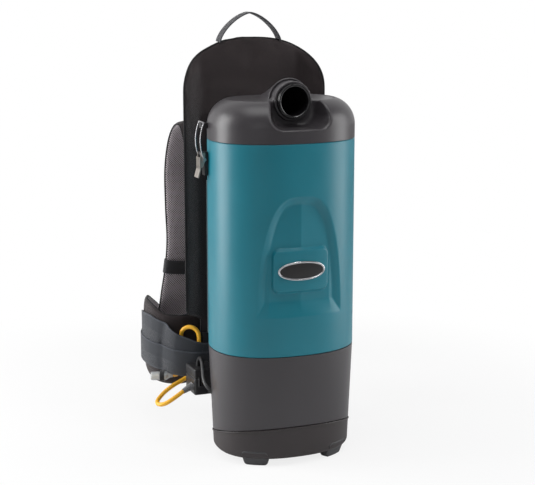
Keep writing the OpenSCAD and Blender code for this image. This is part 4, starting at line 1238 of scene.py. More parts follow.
@dataclass
class Studio:
    """Camera, floor and lamps."""

    eye: Place3 = (-912.9, -2275.4, 877.4)
    target: Place3 = (-22.4, 8.7, 387.5)
    lens: float = 93.4
    sensor: float = 36.0
    clip: tuple[float, float] = (0.05, 60.0)
    floor_size: float = 12000.0
    lamps: tuple[Softbox, ...] = (
        Softbox("left_softbox", azimuth=-112, height=700, distance=1700, width=1000, length=1700, power=36),
        Softbox("right_softbox", azimuth=72, height=650, distance=1800, width=900, length=1700, power=22),
        Softbox("top_softbox", azimuth=-20, height=2300, distance=500, width=1600, length=1200, power=17),
        Softbox("front_fill", azimuth=-30, height=1300, distance=3200, width=1400, length=1400, power=5),
        Softbox("front_key", azimuth=24, height=2100, distance=1500, width=260, length=260, power=5),
    )
    sky: Place3 = (0.18, 0.18, 0.185)
    gloss_white: float = 0.85
    gloss_from: tuple[float, float] = (-0.3, 0.4)
    floor_glow: float = 0.82
    floor_fade: tuple[float, float] = (0.55, 1.0)

    def camera(self) -> None:
        """Puts the camera in place."""
        place, target = (Vector(to_frame(p)) for p in (self.eye, self.target))
        camera = added("camera", bpy.ops.object.camera_add, location=place)
        camera.rotation_euler = (target - place).to_track_quat("-Z", "Y").to_euler()
        camera.data.lens = self.lens
        camera.data.sensor_width = self.sensor
        camera.data.clip_start, camera.data.clip_end = self.clip
        bpy.context.scene.camera = camera

    def backdrop(self) -> None:
        """A pale floor that keeps shadows, and a world that is white where the camera sees it."""
        floor = added("studio_floor", bpy.ops.mesh.primitive_plane_add, size=self.floor_size * MM)
        recipe = Recipe("studio_floor")
        recipe.set(Base_Color=(0.9, 0.9, 0.9, 1), Roughness=0.9, Specular_IOR_Level=0.1)
        seen = Term(recipe, recipe.node("ShaderNodeLightPath").outputs["Is Camera Ray"])
        glow = recipe.node("ShaderNodeEmission", None, {0: (1, 1, 1, 1), 1: 1.0})
        x, y, _ = recipe.axes(Place.SOLID)
        far = ((x * x + y * y) ** 0.5).over(*self.floor_fade)
        share = seen * (self.floor_glow + (1 - self.floor_glow) * far)
        blend = recipe.node("ShaderNodeMixShader", None,
                            {0: share, 1: recipe.shader.outputs[0], 2: glow.outputs[0]})
        output = next(n for n in recipe.tree.nodes if n.type == "OUTPUT_MATERIAL")
        recipe.tree.links.new(blend.outputs[0], output.inputs[0])
        floor.data.materials.append(recipe.material)

    def world(self) -> None:
        """Dim grey surroundings, white to the camera and in gloss and glass a little."""
        world = bpy.data.worlds.new("studio_world")
        bpy.context.scene.world = world
        world.use_nodes = True
        tree = world.node_tree
        background = next(n for n in tree.nodes if n.type == "BACKGROUND")
        sky = Recipe.within(tree)
        path = sky.node("ShaderNodeLightPath")
        _, back, _ = sky.split(sky.node("ShaderNodeTexCoord").outputs["Generated"])
        gloss = Term(sky, path.outputs["Is Glossy Ray"]) * back.over(*self.gloss_from) * self.gloss_white
        seen = Term(sky, path.outputs["Is Camera Ray"]) + Term(sky, path.outputs["Is Transmission Ray"])
        sky.feed(background.inputs[0], sky.mix(seen + gloss, (*self.sky, 1), (1, 1, 1, 1)))

    def build(self) -> None:
        """Sets up everything that isn't the object."""
        self.camera()
        self.backdrop()
        self.world()
        for lamp in self.lamps:
            lamp.build()
        bpy.context.scene.view_settings.view_transform = "Standard"


# ---------- power cord ----------


@dataclass
class PowerCord:
    """Yellow pigtail from the switch box: relief, cord, plug, its elastic loop and clear cap."""

    route: Route = (
        (-158, 93, 99), (-170, 90, 93), (-181, 89, 87), (-191, 91, 81), (-199, 97, 77), (-203, 107, 76),
        (-201, 117, 78), (-194, 125, 82), (-184, 131, 88), (-172, 136, 94), (-159, 141, 99), (-147, 146, 102),
        (-136, 151, 105), (-126, 154, 110), (-117, 155, 118), (-111, 154, 129), (-108, 152, 142),
        (-107, 151, 155), (-107, 151, 170), (-107, 151, 185), (-109, 152.3, 194), (-114.2, 156, 200.2),
        (-121.5, 161, 202.6), (-128.8, 166, 200.2), (-134, 169.7, 194), (-136, 171, 185), (-136, 171, 170),
        (-136, 171, 155), (-136, 171, 140), (-136, 171, 125), (-138.2, 171.2, 115.5), (-144, 172.1, 109.3),
        (-152, 174.3, 107),
    )
    diameter: float = 8.0
    length: float = 386.0
    relief_root: Place3 = (-138.05, 97.0, 107.0)
    plug_turn: Place3 = (-44.0, 17.0, -2.0)
    plug_l: float = 26.0
    plug_w: float = 26.0
    plug_t: float = 16.0
    plug_power: float = 2.6
    cap_l: float = 17.0
    loop_half: tuple[float, float] = (4.5, 0.7)
    ribs: int = 5

    def axis(self) -> Points:
        """Direction of the plug."""
        return unit(np.array(self.plug_turn))

    def plug_net(self, stations: Sequence[tuple[float, float]], shrink: float = 0.0) -> Net:
        """Net of a flat oval body along the plug's axis.

        Args:
            stations: Distance along the axis and share of the full section there.
            shrink: How much smaller than the plug the full section is.

        Returns:
            The net.
        """
        along, share = np.array(stations).T
        line = np.array(self.route[-1]) + along[:, None] * self.axis()
        across = np.cross((0.0, 0.0, 1.0), self.axis())
        return sweep(line, across, even_section(48, self.plug_power), share * (self.plug_w / 2 - shrink),
                     share * (self.plug_t / 2 - shrink))

    def relief(self) -> Piece:
        """The strain relief, with ribs that widen towards the box.

        Returns:
            The relief.
        """
        start, root = np.array(self.route[0], float), np.array(self.relief_root)
        run = float(np.linalg.norm(root - start))
        bore = self.diameter / 2
        rib = [(-0.9, 0), (-0.1, 0.25), (0, 0.8), (0, 1.5), (-0.1, 2.0), (-0.9, 2.3)]
        profile = [(bore + 0.05, 0.0), (bore + 0.9, 0.0)]
        for i in range(self.ribs):
            profile += [(bore + 1.3 + 0.42 * i + r, run * (0.12 + 0.16 * i) + s) for r, s in rib]
        profile += [(7.4, run - 1.4), (7.6, run - 0.2), (7.4, run + 0.1), (bore + 0.05, run + 0.1)]
        return turned("cord_relief_ribbed", profile, start, root - start, RELIEF_GREY, steps=48)

    def build(self) -> None:
        """Makes the cord with all that is on it."""
        relief = install(self.relief(), "body", "grey_relief", "cord_relief")
        path = spline(self.route, 6)
        cord = install(tube("pigtail", path, self.diameter / 2, YELLOW_JACKET), "body", "cord_jacket",
                       "power_cord")
        body_rows = [(0, 0), (0.01, 0.42), (1.5, 0.46), (5, 0.5), (8, 0.62), (10.5, 0.86), (12.5, 0.97),
                     (14, 1), (self.plug_l - 1.2, 1), (self.plug_l - 0.3, 0.975), (self.plug_l, 0.93),
                     (self.plug_l, 0)]
        plug = install(lay_grid("plug_moulding", self.plug_net(body_rows), MILKY), "body", "clear_plastic",
                       "plug_body")
        mouth = self.plug_l + 0.1
        end = mouth + self.cap_l
        cap_rows = [(mouth, 1), (mouth + 2, 1), (end - 4, 0.98), (end - 2, 0.93), (end - 0.8, 0.83),
                    (end - 0.2, 0.7), (end, 0.5), (end, 0)]
        cap = thicken(lay_grid("plug_cap", self.plug_net(cap_rows, 0.6), MILKY), 1.1)
        install(cap, "cap", "clear_plastic", "blade_cap")
        axis = self.axis()
        across = unit(np.cross((0.0, 0.0, 1.0), axis))
        q = squircle(self.plug_w / 2 + 0.85, self.plug_t / 2 + 0.85, self.plug_power, np.arange(0, 361, 5))
        middle = np.array(self.route[-1]) + (self.plug_l - 1 - self.loop_half[0]) * axis
        line = middle + q[:, :1] * across + q[:, 1:] * np.cross(axis, across)
        net = sweep_closed(line, band_section(*self.loop_half), *self.loop_half, axis)
        install(lay_grid("plug_elastic", net, ELASTIC), "body", "webbing", "plug_loop")


# ---------- tank ----------


@dataclass
class Tank:
    """Teal tank with its arch recess, the blank badge and its raised pad."""

    bottom: float = 203.0
    top: float = 578.0
    wall: float = 3.0
    edge: float = 1.3
    recess_z: float = 275.0
    recess_w: float = 160.0
    recess_h: float = 211.0
    recess_deep: float = 7.5
    flank: float = 13.5
    sill: float = 25.0
    crease: float = 0.127
    arch_powers: tuple[float, float] = (3.2, 1.85)
    arch_rounds: tuple[float, float, float] = (0.12, 0.1, 0.14)
    badge_z: float = 356.0
    pad_half: tuple[float, float] = (56.0, 40.0)
    pad_round: float = 14.0
    pad_deep: float = 2.5
    pad_edge: float = 4.0
    badge_half: tuple[float, float] = (44.0, 17.0)
    badge_power: float = 2.15
    inner_deep: float = 10.0

    def depth(self, x: Array, z: Array) -> Array:
        """How deep the front lies under the body's outline.

        Args:
            x: Places across the front.
            z: Heights.

        Returns:
            The depth at each place.
        """
        rise = z - self.recess_z
        half, (p, q), (meet, foot, head) = self.recess_w / 2, self.arch_powers, self.arch_rounds
        wide, high = np.abs(x) / half, np.maximum(rise, 0.01) / self.recess_h
        slope = np.hypot(p * wide ** (p - 1) / half, q * high ** (q - 1) / self.recess_h)
        inside = (1 - wide**p - high**q) / np.maximum(slope, 0.002)
        ramp = soft_ramp(smooth_min(inside / self.flank, rise / self.sill, meet), foot, head)
        drop = BODY.front(x) + BODY.half_d
        floor = self.recess_deep + np.maximum(self.crease * np.abs(x) - drop, 0)
        sides = (np.abs(x), np.abs(z - self.badge_z))
        past = [side - half + self.pad_round for side, half in zip(sides, self.pad_half)]
        raised = soft_ramp(-corner_field(*past, self.pad_round) / self.pad_edge)
        return floor * ramp * (1 - raised) + self.pad_deep * raised

    def shell(self) -> Piece:
        """The tank's outer and inner walls in one closed grid, with a step under the lid.

        Returns:
            The shell.
        """
        degrees = np.concatenate([np.linspace(-270, -130, 46)[:-1], np.linspace(-130, -50, 163)[:-1],
                                  np.linspace(-50, 90, 46)])
        low, high = self.recess_z - 6, self.recess_z + self.recess_h + 5
        outer = [(self.bottom, self.edge), (self.bottom + self.edge, 0.0)]
        outer += [(z, 0.0) for z in np.linspace(self.bottom + 2, low, 8)[:-1]]
        outer += [(z, 0.0) for z in np.linspace(low, high, 150)]
        outer += [(z, 0.0) for z in np.linspace(high, self.top - self.edge, 10)[1:]]
        w = self.wall
        inner = [(self.top, self.edge), (self.top, w), (self.top + 7.4, w), (self.top + 8, w + 0.6),
                 (self.top + 8, 2 * w - 0.6), (self.top + 7.4, 2 * w), (self.top - 6, 2 * w),
                 (self.top - 6, w), (self.top - 26, w), (self.top - 26, w + 7), (self.top - 30, w + 7),
                 (self.top - 30, w), (high + 4, w), (high, w), (low, w), (low - 4, w), (self.bottom, w),
                 (self.bottom, self.edge)]
        rows = np.array(outer + inner)
        z = rows[:, :1]
        inset = np.repeat(rows[:, 1:], len(degrees), 1)
        x = BODY.ring(degrees)[:, 0][None]
        front = (np.sin(np.radians(degrees)) < 0)[None]
        count = len(outer)
        inset[:count] += self.depth(x, z[:count]) * front
        behind = (z > low - 1) & (z < high + 1) & (np.arange(len(rows))[:, None] >= count)
        inset += self.inner_deep * behind * front * ease((self.recess_w / 2 + 12 - np.abs(x)) / 8)
        plan = np.stack([BODY.ring(degrees, row) for row in inset])
        points = np.concatenate([plan, np.repeat(z, len(degrees), 1)[..., None]], -1)
        return lay_grid("tank_shell", Net(points), TEAL)

    def badge(self) -> Piece:
        """Blank oval plate with a raised bright rim, following the tank's front.

        Returns:
            The plate.
        """
        a, b = self.badge_half
        turn = np.arange(0, 361, 3)
        sunk = self.pad_deep - 0.02
        rim = [(0.0, sunk), (0.0, 0.7), (0.3, 0.25), (0.8, -0.05), (1.4, -0.15), (2.0, -0.05), (2.5, 0.25),
               (2.8, 0.75), (3.4, 0.8)]
        points = [(squircle(a - inward, b - inward, self.badge_power, turn), deep) for inward, deep in rim]
        last = points[-1][0]
        points += [(last * share, 0.8 - 0.25 * (1 - share**2)) for share in np.linspace(1, 0, 10)[1:]]
        points.insert(0, (last * 0, sunk))
        net = np.stack([
            np.stack([q[:, 0], BODY.front(q[:, 0], deep), self.badge_z + q[:, 1]], -1)
            for q, deep in points])
        faces = np.ones((len(points) - 1, len(turn) - 1), int)
        faces[1:len(rim)] = 0
        return lay_grid("badge_plate_blank", Net(net, None, faces), BADGE_RIM, BADGE_FACE)

    def build(self) -> None:
        """Makes the tank and its badge."""
        install(self.shell(), "body", "teal_shell", "tank")
        install(self.badge(), "body", "badge_plate", "badge")


# ---------- base ----------


@dataclass
class Base:
    """Motor housing, base cap with its tilted seam and exhaust slots, and the feet."""

    top: float = 203.0
    bottom: float = 12.0
    wall: float = 3.0
    half_w: float = 124.0
    round_r: float = 9.0
    seam_h: float = 49.5
    tilt: float = 12.8
    lip: float = 1.3
    lip_h: float = 3.6
    edge: float = 1.2
    foot_w: float = 48.0
    foot_top: float = 28.0
    foot_corner: float = 7.5
    foot_angles: tuple[float, ...] = (52.0, 128.0, 232.0, 308.0)
    foot_section: Table = (
        (20.0, 1.2), (19.0, 0.0), (8.2, 0.0), (7.0, 0.5), (6.4, 1.6), (3.2, 11.0), (0.4, 17.5),
        (-0.9, 20.2), (-1.1, 21.2), (-0.6, 21.9), (1.5, 22.0), (8.0, 15.5), (20.0, 13.5),
    )
    lead_entry: Place3 = (-118.5, 22.5, 113.5)
    lead_way: Place3 = (6.5, -4.5, -3.5)
    lead_hole_r: float = 6.5
    web_z: float = 74.0
    web_t: float = 4.0
    web_hole_r: float = 9.0
    web_hole_out: float = 40.0
    slots: int = 9
    slot_l: float = 56.0
    slot_w: float = 5.0
    slot_pitch: float = 12.0
    columns: int = 180

    def ring(self, degrees: Array, z: Array, inset: Array | float) -> Points:
        """Points of the tapering body at given heights.

        Args:
            degrees: Angle of each point.
            z: Height of each point.
            inset: How far in each point lies.

        Returns:
            The points.
        """
        half = self.half_w + (BODY.half_w - self.half_w) * (z - self.bottom) / (self.top - self.bottom)
        q = squircle(1, 1, BODY.power, degrees)
        depth = half * BODY.half_d / BODY.half_w
        return np.stack([q[..., 0] * (half - inset), q[..., 1] * (depth - inset), z], -1)

    def seam(self, degrees: Array) -> Array:
        """The tilted seam, found from the body's depth at its own height.

        Args:
            degrees: Angle of each point.

        Returns:
            Its heights.
        """
        slope = math.tan(math.radians(self.tilt))
        z = np.full(len(degrees), self.seam_h)
        for _ in range(4):
            z = self.seam_h - slope * self.ring(degrees, z, 0.0)[:, 1]
        return z

    def housing(self) -> Piece:
        """The motor housing's shell between the seam and the tank, with its web inside.

        Returns:
            The housing.
        """
        degrees = round_angles(self.columns)
        seam = self.seam(degrees)
        tall = self.top - seam - 2 * self.edge
        rows = [self.ring(degrees, seam, self.edge)]
        rows += [self.ring(degrees, seam + self.edge + s * tall, 0.0) for s in np.linspace(0, 1, 22)]
        rows += [self.ring(degrees, np.full(len(degrees), self.top), self.edge)]
        shell = thicken(lay_grid("housing_shell", Net(np.stack(rows)), CHARCOAL), self.wall)
        entry, way = np.array(self.lead_entry), unit(np.array(self.lead_way))
        cut(shell, drum("lead_hole", entry - 14 * way, entry + 14 * way, self.lead_hole_r))
        web = self.disc("motor_web", self.web_z, self.web_z + self.web_t)
        turns = np.radians(np.arange(0, 360, 45))
        centres = [(0.0, 0.0, self.web_hole_r + 1)]
        centres += [(self.web_hole_out * math.cos(t), self.web_hole_out * math.sin(t), self.web_hole_r)
                    for t in turns]
        cutters = [drum(f"web_hole_{i}", (x, y, self.web_z - 3), (x, y, self.web_z + 8), r, 48)
                   for i, (x, y, r) in enumerate(centres)]
        cut(web, joined("web_holes", *cutters))
        return joined("motor_housing_shell", shell, web)

    def disc(self, name: str, low: float, high: float) -> Piece:
        """A plate across the inside of the housing.

        Args:
            name: Name of the plate.
            low: Height of its underside.
            high: Height of its top.

        Returns:
            The plate.
        """
        degrees = round_angles(self.columns)
        rows = []
        for z, share in ((low, 0.0), (low, 1.0), (high, 1.0), (high, 0.0)):
            edge = self.ring(degrees, np.full(len(degrees), z), self.wall / 2)
            rows.append(edge * (share, share, 1))
        return lay_grid(name, Net(np.stack(rows)), CHARCOAL)

    def cap(self) -> Piece:
        """The base cap: a shallow tray with a proud lip, a rounded edge and exhaust slots.

        Returns:
            The cap.
        """
        degrees = round_angles(self.columns)
        seam = self.seam(degrees)
        flat = np.ones(len(degrees))
        rows = [self.ring(degrees, self.bottom * flat, self.round_r) * (share, share, 1)
                for share in (0, 0.25, 0.5, 0.75, 0.92)]
        for turn in np.radians(np.linspace(0, 90, 9)):
            z = self.bottom + self.round_r * (1 - math.cos(turn))
            rows.append(self.ring(degrees, z * flat, self.round_r * (1 - math.sin(turn))))
        start = self.bottom + self.round_r
        for share in np.linspace(0, 1, 7)[1:]:
            rows.append(self.ring(degrees, start + share * (seam - self.lip_h - start), 0.0))
        lip = [(self.lip_h - 0.5, -0.8 * self.lip), (self.lip_h - 1.0, -self.lip), (0.9, -self.lip),
               (0.3, -0.7 * self.lip), (0.15, 0.2)]
        rows += [self.ring(degrees, seam - under, inset) for under, inset in lip]
        cap = thicken(lay_grid("base_tray", Net(np.stack(rows)), BASE_BLACK), self.wall)
        cutters = []
        for i in range(self.slots):
            y = (i - (self.slots - 1) / 2) * self.slot_pitch
            cutters.append(block(f"slot_{i}", (-self.slot_l / 2, y - self.slot_w / 2, self.bottom - 5),
                                 (self.slot_l / 2, y + self.slot_w / 2, self.bottom + 8), 1.2, 2))
        return smooth(cut(cap, joined("slots", *cutters)))

    def foot(self, centre: float) -> Piece:
        """One foot: a rounded tab that wraps the base's edge.

        Args:
            centre: Angle of its middle.

        Returns:
            The foot.
        """
        half = self.foot_w / 2
        r = self.foot_corner
        fine = r * (1 - np.cos(np.radians(np.linspace(0, 90, 7))))
        runs = np.concatenate([-half + fine, np.linspace(r - half, half - r, 13)[1:-1], half - fine[::-1]])
        near = np.minimum(half - np.abs(runs), r)
        low = r - np.sqrt(np.maximum(r * r - (r - near) ** 2, 0))
        outline = Outline(self.half_w, self.half_w * BODY.half_d / BODY.half_w)
        degrees = outline.arc(centre, runs)
        rows = []
        tall = max(z for _, z in self.foot_section)
        for angle, lift in zip(degrees, low):
            span = (self.foot_top - 2 * lift) / tall
            ring = [(*outline.ring(np.array([angle]), e)[0], lift + z * span) for e, z in self.foot_section]
            rows.append(np.array(ring + ring[:1]))
        middle = [np.repeat(row[:-1].mean(0, keepdims=True), len(row), 0) for row in (rows[0], rows[-1])]
        obj = lay_grid(f"foot_{centre:.0f}", Net(np.stack([middle[0], *rows, middle[1]])), FOOT_GREY)
        edit(obj, face_out)
        return obj

    def build(self) -> None:
        """Makes the housing, the cap and the feet."""
        install(self.housing(), "body", "charcoal_shell", "motor_housing")
        install(self.cap(), "body", "black_plastic", "base_cap")
        feet = joined("base_feet", *[self.foot(angle) for angle in self.foot_angles])
        install(feet, "body", "charcoal_shell", "feet")


# ---------- lid ----------


@dataclass
class Lid:
    """Domed lid with the hood over the inlet, the cave under it, and the turning collar."""

    seat: float = 578.0
    skirt: float = 24.0
    shoulder: float = 48.0
    wall: float = 3.0
    inlet_z: float = 647.0
    face_y: float = -57.0
    neck_r: float = 34.5
    rim_y: float = -36.0
    rim_r: float = 36.8
    tail: Place3 = (0.0, 24.0, 628.0)
    tail_r: float = 34.0
    bead_r: float = 1.7
    top_z: float = 647.6
    crest: float = 12.5
    cave_back: float = -50.0
    cave_half: float = 40.0
    cave_spread: float = 0.37
    cave_floor: float = 602.0
    cave_round: float = 25.0
    bore_r: float = 31.0
    collar_section: Table = (
        (24.5, 21.6), (24.5, -5.0), (25.0, -6.4), (26.0, -7.5), (27.2, -8.0), (28.8, -8.0), (29.6, -7.7),
        (29.9, -7.0), (29.9, -5.8), (29.6, -5.2), (28.8, -5.0), (27.0, -4.9), (27.0, -3.5), (28.8, -3.4),
        (29.6, -3.2), (29.9, -2.5), (29.9, -1.2), (29.6, -0.6), (28.8, -0.4), (27.0, -0.3), (27.0, 21.6),
    )
    notch_out: float = 30.4
    notch_r: float = 2.2
    notch_angles: tuple[float, ...] = (100.0, 190.0, 345.0)
    heart: Place3 = (0.0, 60.0, 584.0)
    rows: int = 130
    columns: int = 288

    def dome(self, p: Points) -> Array:
        """The dome before the hood is added, with its sunk plateau.

        Args:
            p: Points.

        Returns:
            Their distance outside it.
        """
        x, y, z = np.abs(p[..., 0]), np.abs(p[..., 1]), p[..., 2]
        r = np.hypot(x, y)
        gauge = ((x / BODY.half_w) ** BODY.power + (y / BODY.half_d) ** BODY.power) ** (1 / BODY.power)
        side = r - r / np.maximum(gauge, 1e-6) + self.shoulder
        domed = corner_field(side, z - self.seat - self.skirt, self.shoulder)
        sunk = (z - self.top_z) * 0.98 - np.clip(side - self.crest + 2, 0, 2) * 0.9
        return np.where(side < self.crest, smooth_max(domed, sunk, 0.8), domed)

    def hood(self, p: Points) -> Array:
        """The tapering hood, cut off at its rim, and the neck that stands out of it.

        Args:
            p: Points.

        Returns:
            Their distance outside both.
        """
        a = np.array([0.0, self.rim_y, self.inlet_z])
        way = np.array(self.tail) - a
        h = np.clip(((p - a) @ way) / (way @ way), 0, 1)
        radius = self.rim_r + (self.tail_r - self.rim_r) * h
        cone = np.linalg.norm(p - a - h[..., None] * way, axis=-1) - radius
        round_it = np.hypot(p[..., 0], p[..., 2] - self.inlet_z)
        front = np.where(p[..., 1] < self.rim_y, round_it - self.rim_r, cone)
        roof = smooth_max(front, self.rim_y - p[..., 1], 1.6)
        neck = smooth_max(round_it - self.neck_r, self.face_y - p[..., 1], 1.6)
        return np.minimum(roof, np.where(p[..., 1] < self.rim_y + 4, neck, roof))

    def cave(self, p: Points) -> Array:
        """The cave that opens to the front and to the top.

        Args:
            p: Points.

        Returns:
            Their distance outside it.
        """
        half = self.cave_half + self.cave_spread * (self.cave_back - p[..., 1])
        side = np.abs(p[..., 0]) - half + self.cave_round
        low = self.cave_floor + self.cave_round - p[..., 2]
        walls = corner_field(side, low, self.cave_round)
        return smooth_max(walls, p[..., 1] - self.cave_back, 10.0)

    def level(self, p: Points) -> Array:
        """Distance outside the lid."""
        blended = smooth_min(self.dome(p), self.hood(p), 9.0)
        return np.minimum(smooth_max(blended, -self.cave(p), 4.5), self.hood(p))

    def hit(self, rays: Points) -> Points:
        """Follows rays from the lid's heart until they leave it.

        Args:
            rays: Directions of the rays.

        Returns:
            The last point of each ray in the lid.
        """
        centre = np.array(self.heart)
        steps = np.linspace(4, 240, 160)
        last = np.full(rays.shape[:2], steps[0])
        for reach in steps:
            last = np.where(self.level(centre + rays * reach) < 0, reach, last)
        low, high = last, last + (steps[1] - steps[0])
        for _ in range(14):
            middle = (low + high) / 2
            inside = self.level(centre + rays * middle[..., None]) < 0
            low, high = np.where(inside, middle, low), np.where(inside, high, middle)
        return centre + rays * low[..., None]

    def shell(self) -> Piece:
        """The lid's shell, drawn as rays from its heart that close in on the inlet.

        Returns:
            The shell, with its bore and a bead round the hood's rim.
        """
        centre = np.array(self.heart)
        goal = unit(np.array([0.0, self.face_y, self.inlet_z]) - centre)
        degrees = round_angles(self.columns)
        base = unit(at_height(BODY.ring(degrees), self.seat) - centre)
        angle = np.arccos(np.clip(base @ goal, -1, 1))[None, :, None]
        share = np.repeat(np.linspace(0, 0.999, 2 * self.rows)[:, None], self.columns + 1, 1)
        for last in (False, True):
            part = share[..., None]
            rays = unit(np.sin((1 - part) * angle) * base + np.sin(part * angle) * goal)
            points = self.hit(rays)
            if last:
                break
            run = np.cumsum(np.linalg.norm(np.diff(points, axis=0), axis=2), 0)
            run = np.vstack([np.zeros((1, run.shape[1])), run])
            even = np.linspace(0, 1, self.rows)
            share = np.column_stack([np.interp(even * far[-1], far, was) for far, was in zip(run.T, share.T)])
            wide = np.hstack([share[:, -4:-1], share, share[:, 1:4]])
            share = np.stack([np.convolve(row, np.ones(7) / 7, "valid") for row in wide])
        points[0] = at_height(BODY.ring(degrees, 0.8), self.seat)
        obj = thicken(lay_grid("lid_dome", Net(points), CHARCOAL), self.wall)
        arch = np.radians(np.linspace(-4, 184, 81))
        rim = np.column_stack([self.rim_r * np.cos(arch), np.full(len(arch), self.rim_y + 0.5),
                               self.inlet_z + self.rim_r * np.sin(arch)])
        bore = drum("bore", (0, self.face_y - 30, self.inlet_z), (0, self.face_y + 22, self.inlet_z),
                    self.bore_r, 128)
        bead = tube("hood_bead", rim, self.bead_r, CHARCOAL, sides=12)
        return smooth(joined("lid_shell", cut(obj, bore), bead), 35)

    def collar(self) -> Piece:
        """The turning collar that takes the hose: two lips with notches, and a flared mouth.

        Returns:
            The collar.
        """
        y, inlet = self.face_y, (0.0, self.face_y, self.inlet_z)
        collar = turned("hose_collar", self.collar_section, inlet, (0, 1, 0), GLOSS_BLACK, steps=144)
        cutters = []
        for i, turn in enumerate(np.radians(self.notch_angles)):
            x, z = self.notch_out * math.cos(turn), self.inlet_z + self.notch_out * math.sin(turn)
            cutters.append(drum(f"notch_{i}", (x, y - 9, z), (x, y - 4.4, z), self.notch_r, 32))
        return smooth(cut(collar, joined("notches", *cutters)), 32)

    def build(self) -> None:
        """Makes the lid and its collar."""
        install(self.shell(), "lid", "charcoal_shell", "lid")
        install(self.collar(), "collar", "black_plastic", "inlet_collar")


# ---------- filters ----------


@dataclass
class Filters:
    """The paper bag and the cloth filter that hangs round it."""

    bag_bottom: float = 255.0
    bag_half: tuple[float, float] = (102.0, 74.0)
    bridge_z: float = 556.0
    spout_y: float = 1.0
    spout_r: float = 33.0
    cloth_bottom: float = 241.0
    cloth_half: tuple[float, float] = (120.0, 90.0)
    rim_z: float = 552.0
    rim_section: Table = (
        (0.4, 10.3), (0.0, 3.6), (0.4, 3.3), (3.6, 3.3), (4.0, 3.6), (4.0, 10.0), (3.6, 10.3), (0.4, 10.3))

    def pouch(self, name: str, rows: Sequence[Place3], pleat: float, folds: int,
              finish: "Finish") -> Piece:
        """A pouch whose wall folds in and out.

        Args:
            name: Name of the piece.
            rows: Height and half sizes of each ring, upwards.
            pleat: Depth of the folds.
            folds: Number of folds round it.
            finish: Its finish.

        Returns:
            The pouch, still without a wall thickness.
        """
        turn = np.linspace(0, 360, 241)
        net, uv = [], []
        for z, a, b in spline(rows, 4):
            wave = np.sin(np.radians(turn * folds) + 0.9 * np.sin(z / 37))
            wave += 0.5 * np.sin(np.radians(turn * 7) + z / 23)
            deep = pleat * min(1.0, a / 60)
            q = squircle(max(a, 0.01), max(b, 0.01), BODY.power, turn)
            q *= (1 - deep * (wave + 1.5) / 2 / max(a, 1))[:, None]
            net.append(at_height(q, z))
            uv.append(at_height(np.radians(turn)[:, None] * 110, z) * MM)
        return lay_grid(name, Net(np.stack(net), np.stack(uv)), finish)

    def build(self) -> None:
        """Makes the bag and the cloth filter."""
        a, b = self.bag_half
        low = self.bag_bottom
        high = self.bridge_z
        rows = [(low, 0, 0), (low + 0.5, 0.5 * a, 0.42 * b), (low + 8, 0.86 * a, 0.82 * b),
                (low + 34, 0.98 * a, 0.98 * b), (low + 100, a, b), (high - 90, a, b),
                (high - 40, 0.97 * a, 0.95 * b), (high - 14, 0.74 * a, 0.7 * b), (high - 4, 0.5 * a, 0.5 * b)]
        bag = thicken(self.pouch("paper_bag", rows, 5.0, 14, BAG_PAPER), 1.0)
        r = self.spout_r
        neck = turned("bag_neck", [(r, -1), (r - 1, -1), (r - 1, 5), (r, 5)], (0, self.spout_y, high - 0.9),
                      (0.0, 0.001, 1), BAG_PAPER)
        install(joined("filter_bag_paper", bag, neck), "body", "bag_paper", "filter_bag")
        a, b = self.cloth_half
        low = self.cloth_bottom
        rows = [(low, 0, 0), (low + 0.5, 0.52 * a, 0.5 * b), (low + 7, 0.82 * a, 0.8 * b),
                (low + 20, 0.93 * a, 0.93 * b), (low + 44, 0.985 * a, 0.985 * b), (low + 150, a, b),
                (self.rim_z + 4, a, b)]
        cloth = thicken(self.pouch("cloth_pouch", rows, 1.6, 22, FILTER_CLOTH), 1.2)
        turn = np.linspace(0, 360, 145)
        rows = [at_height(BODY.ring(turn, inset), self.rim_z + z) for z, inset in self.rim_section]
        rim = lay_grid("cloth_rim", Net(np.stack(rows)), BLACK_PLASTIC)
        edit(rim, face_out)
        install(joined("cloth_filter_pouch", cloth, rim), "body", "filter_cloth", "cloth_filter")


# ---------- back panel ----------


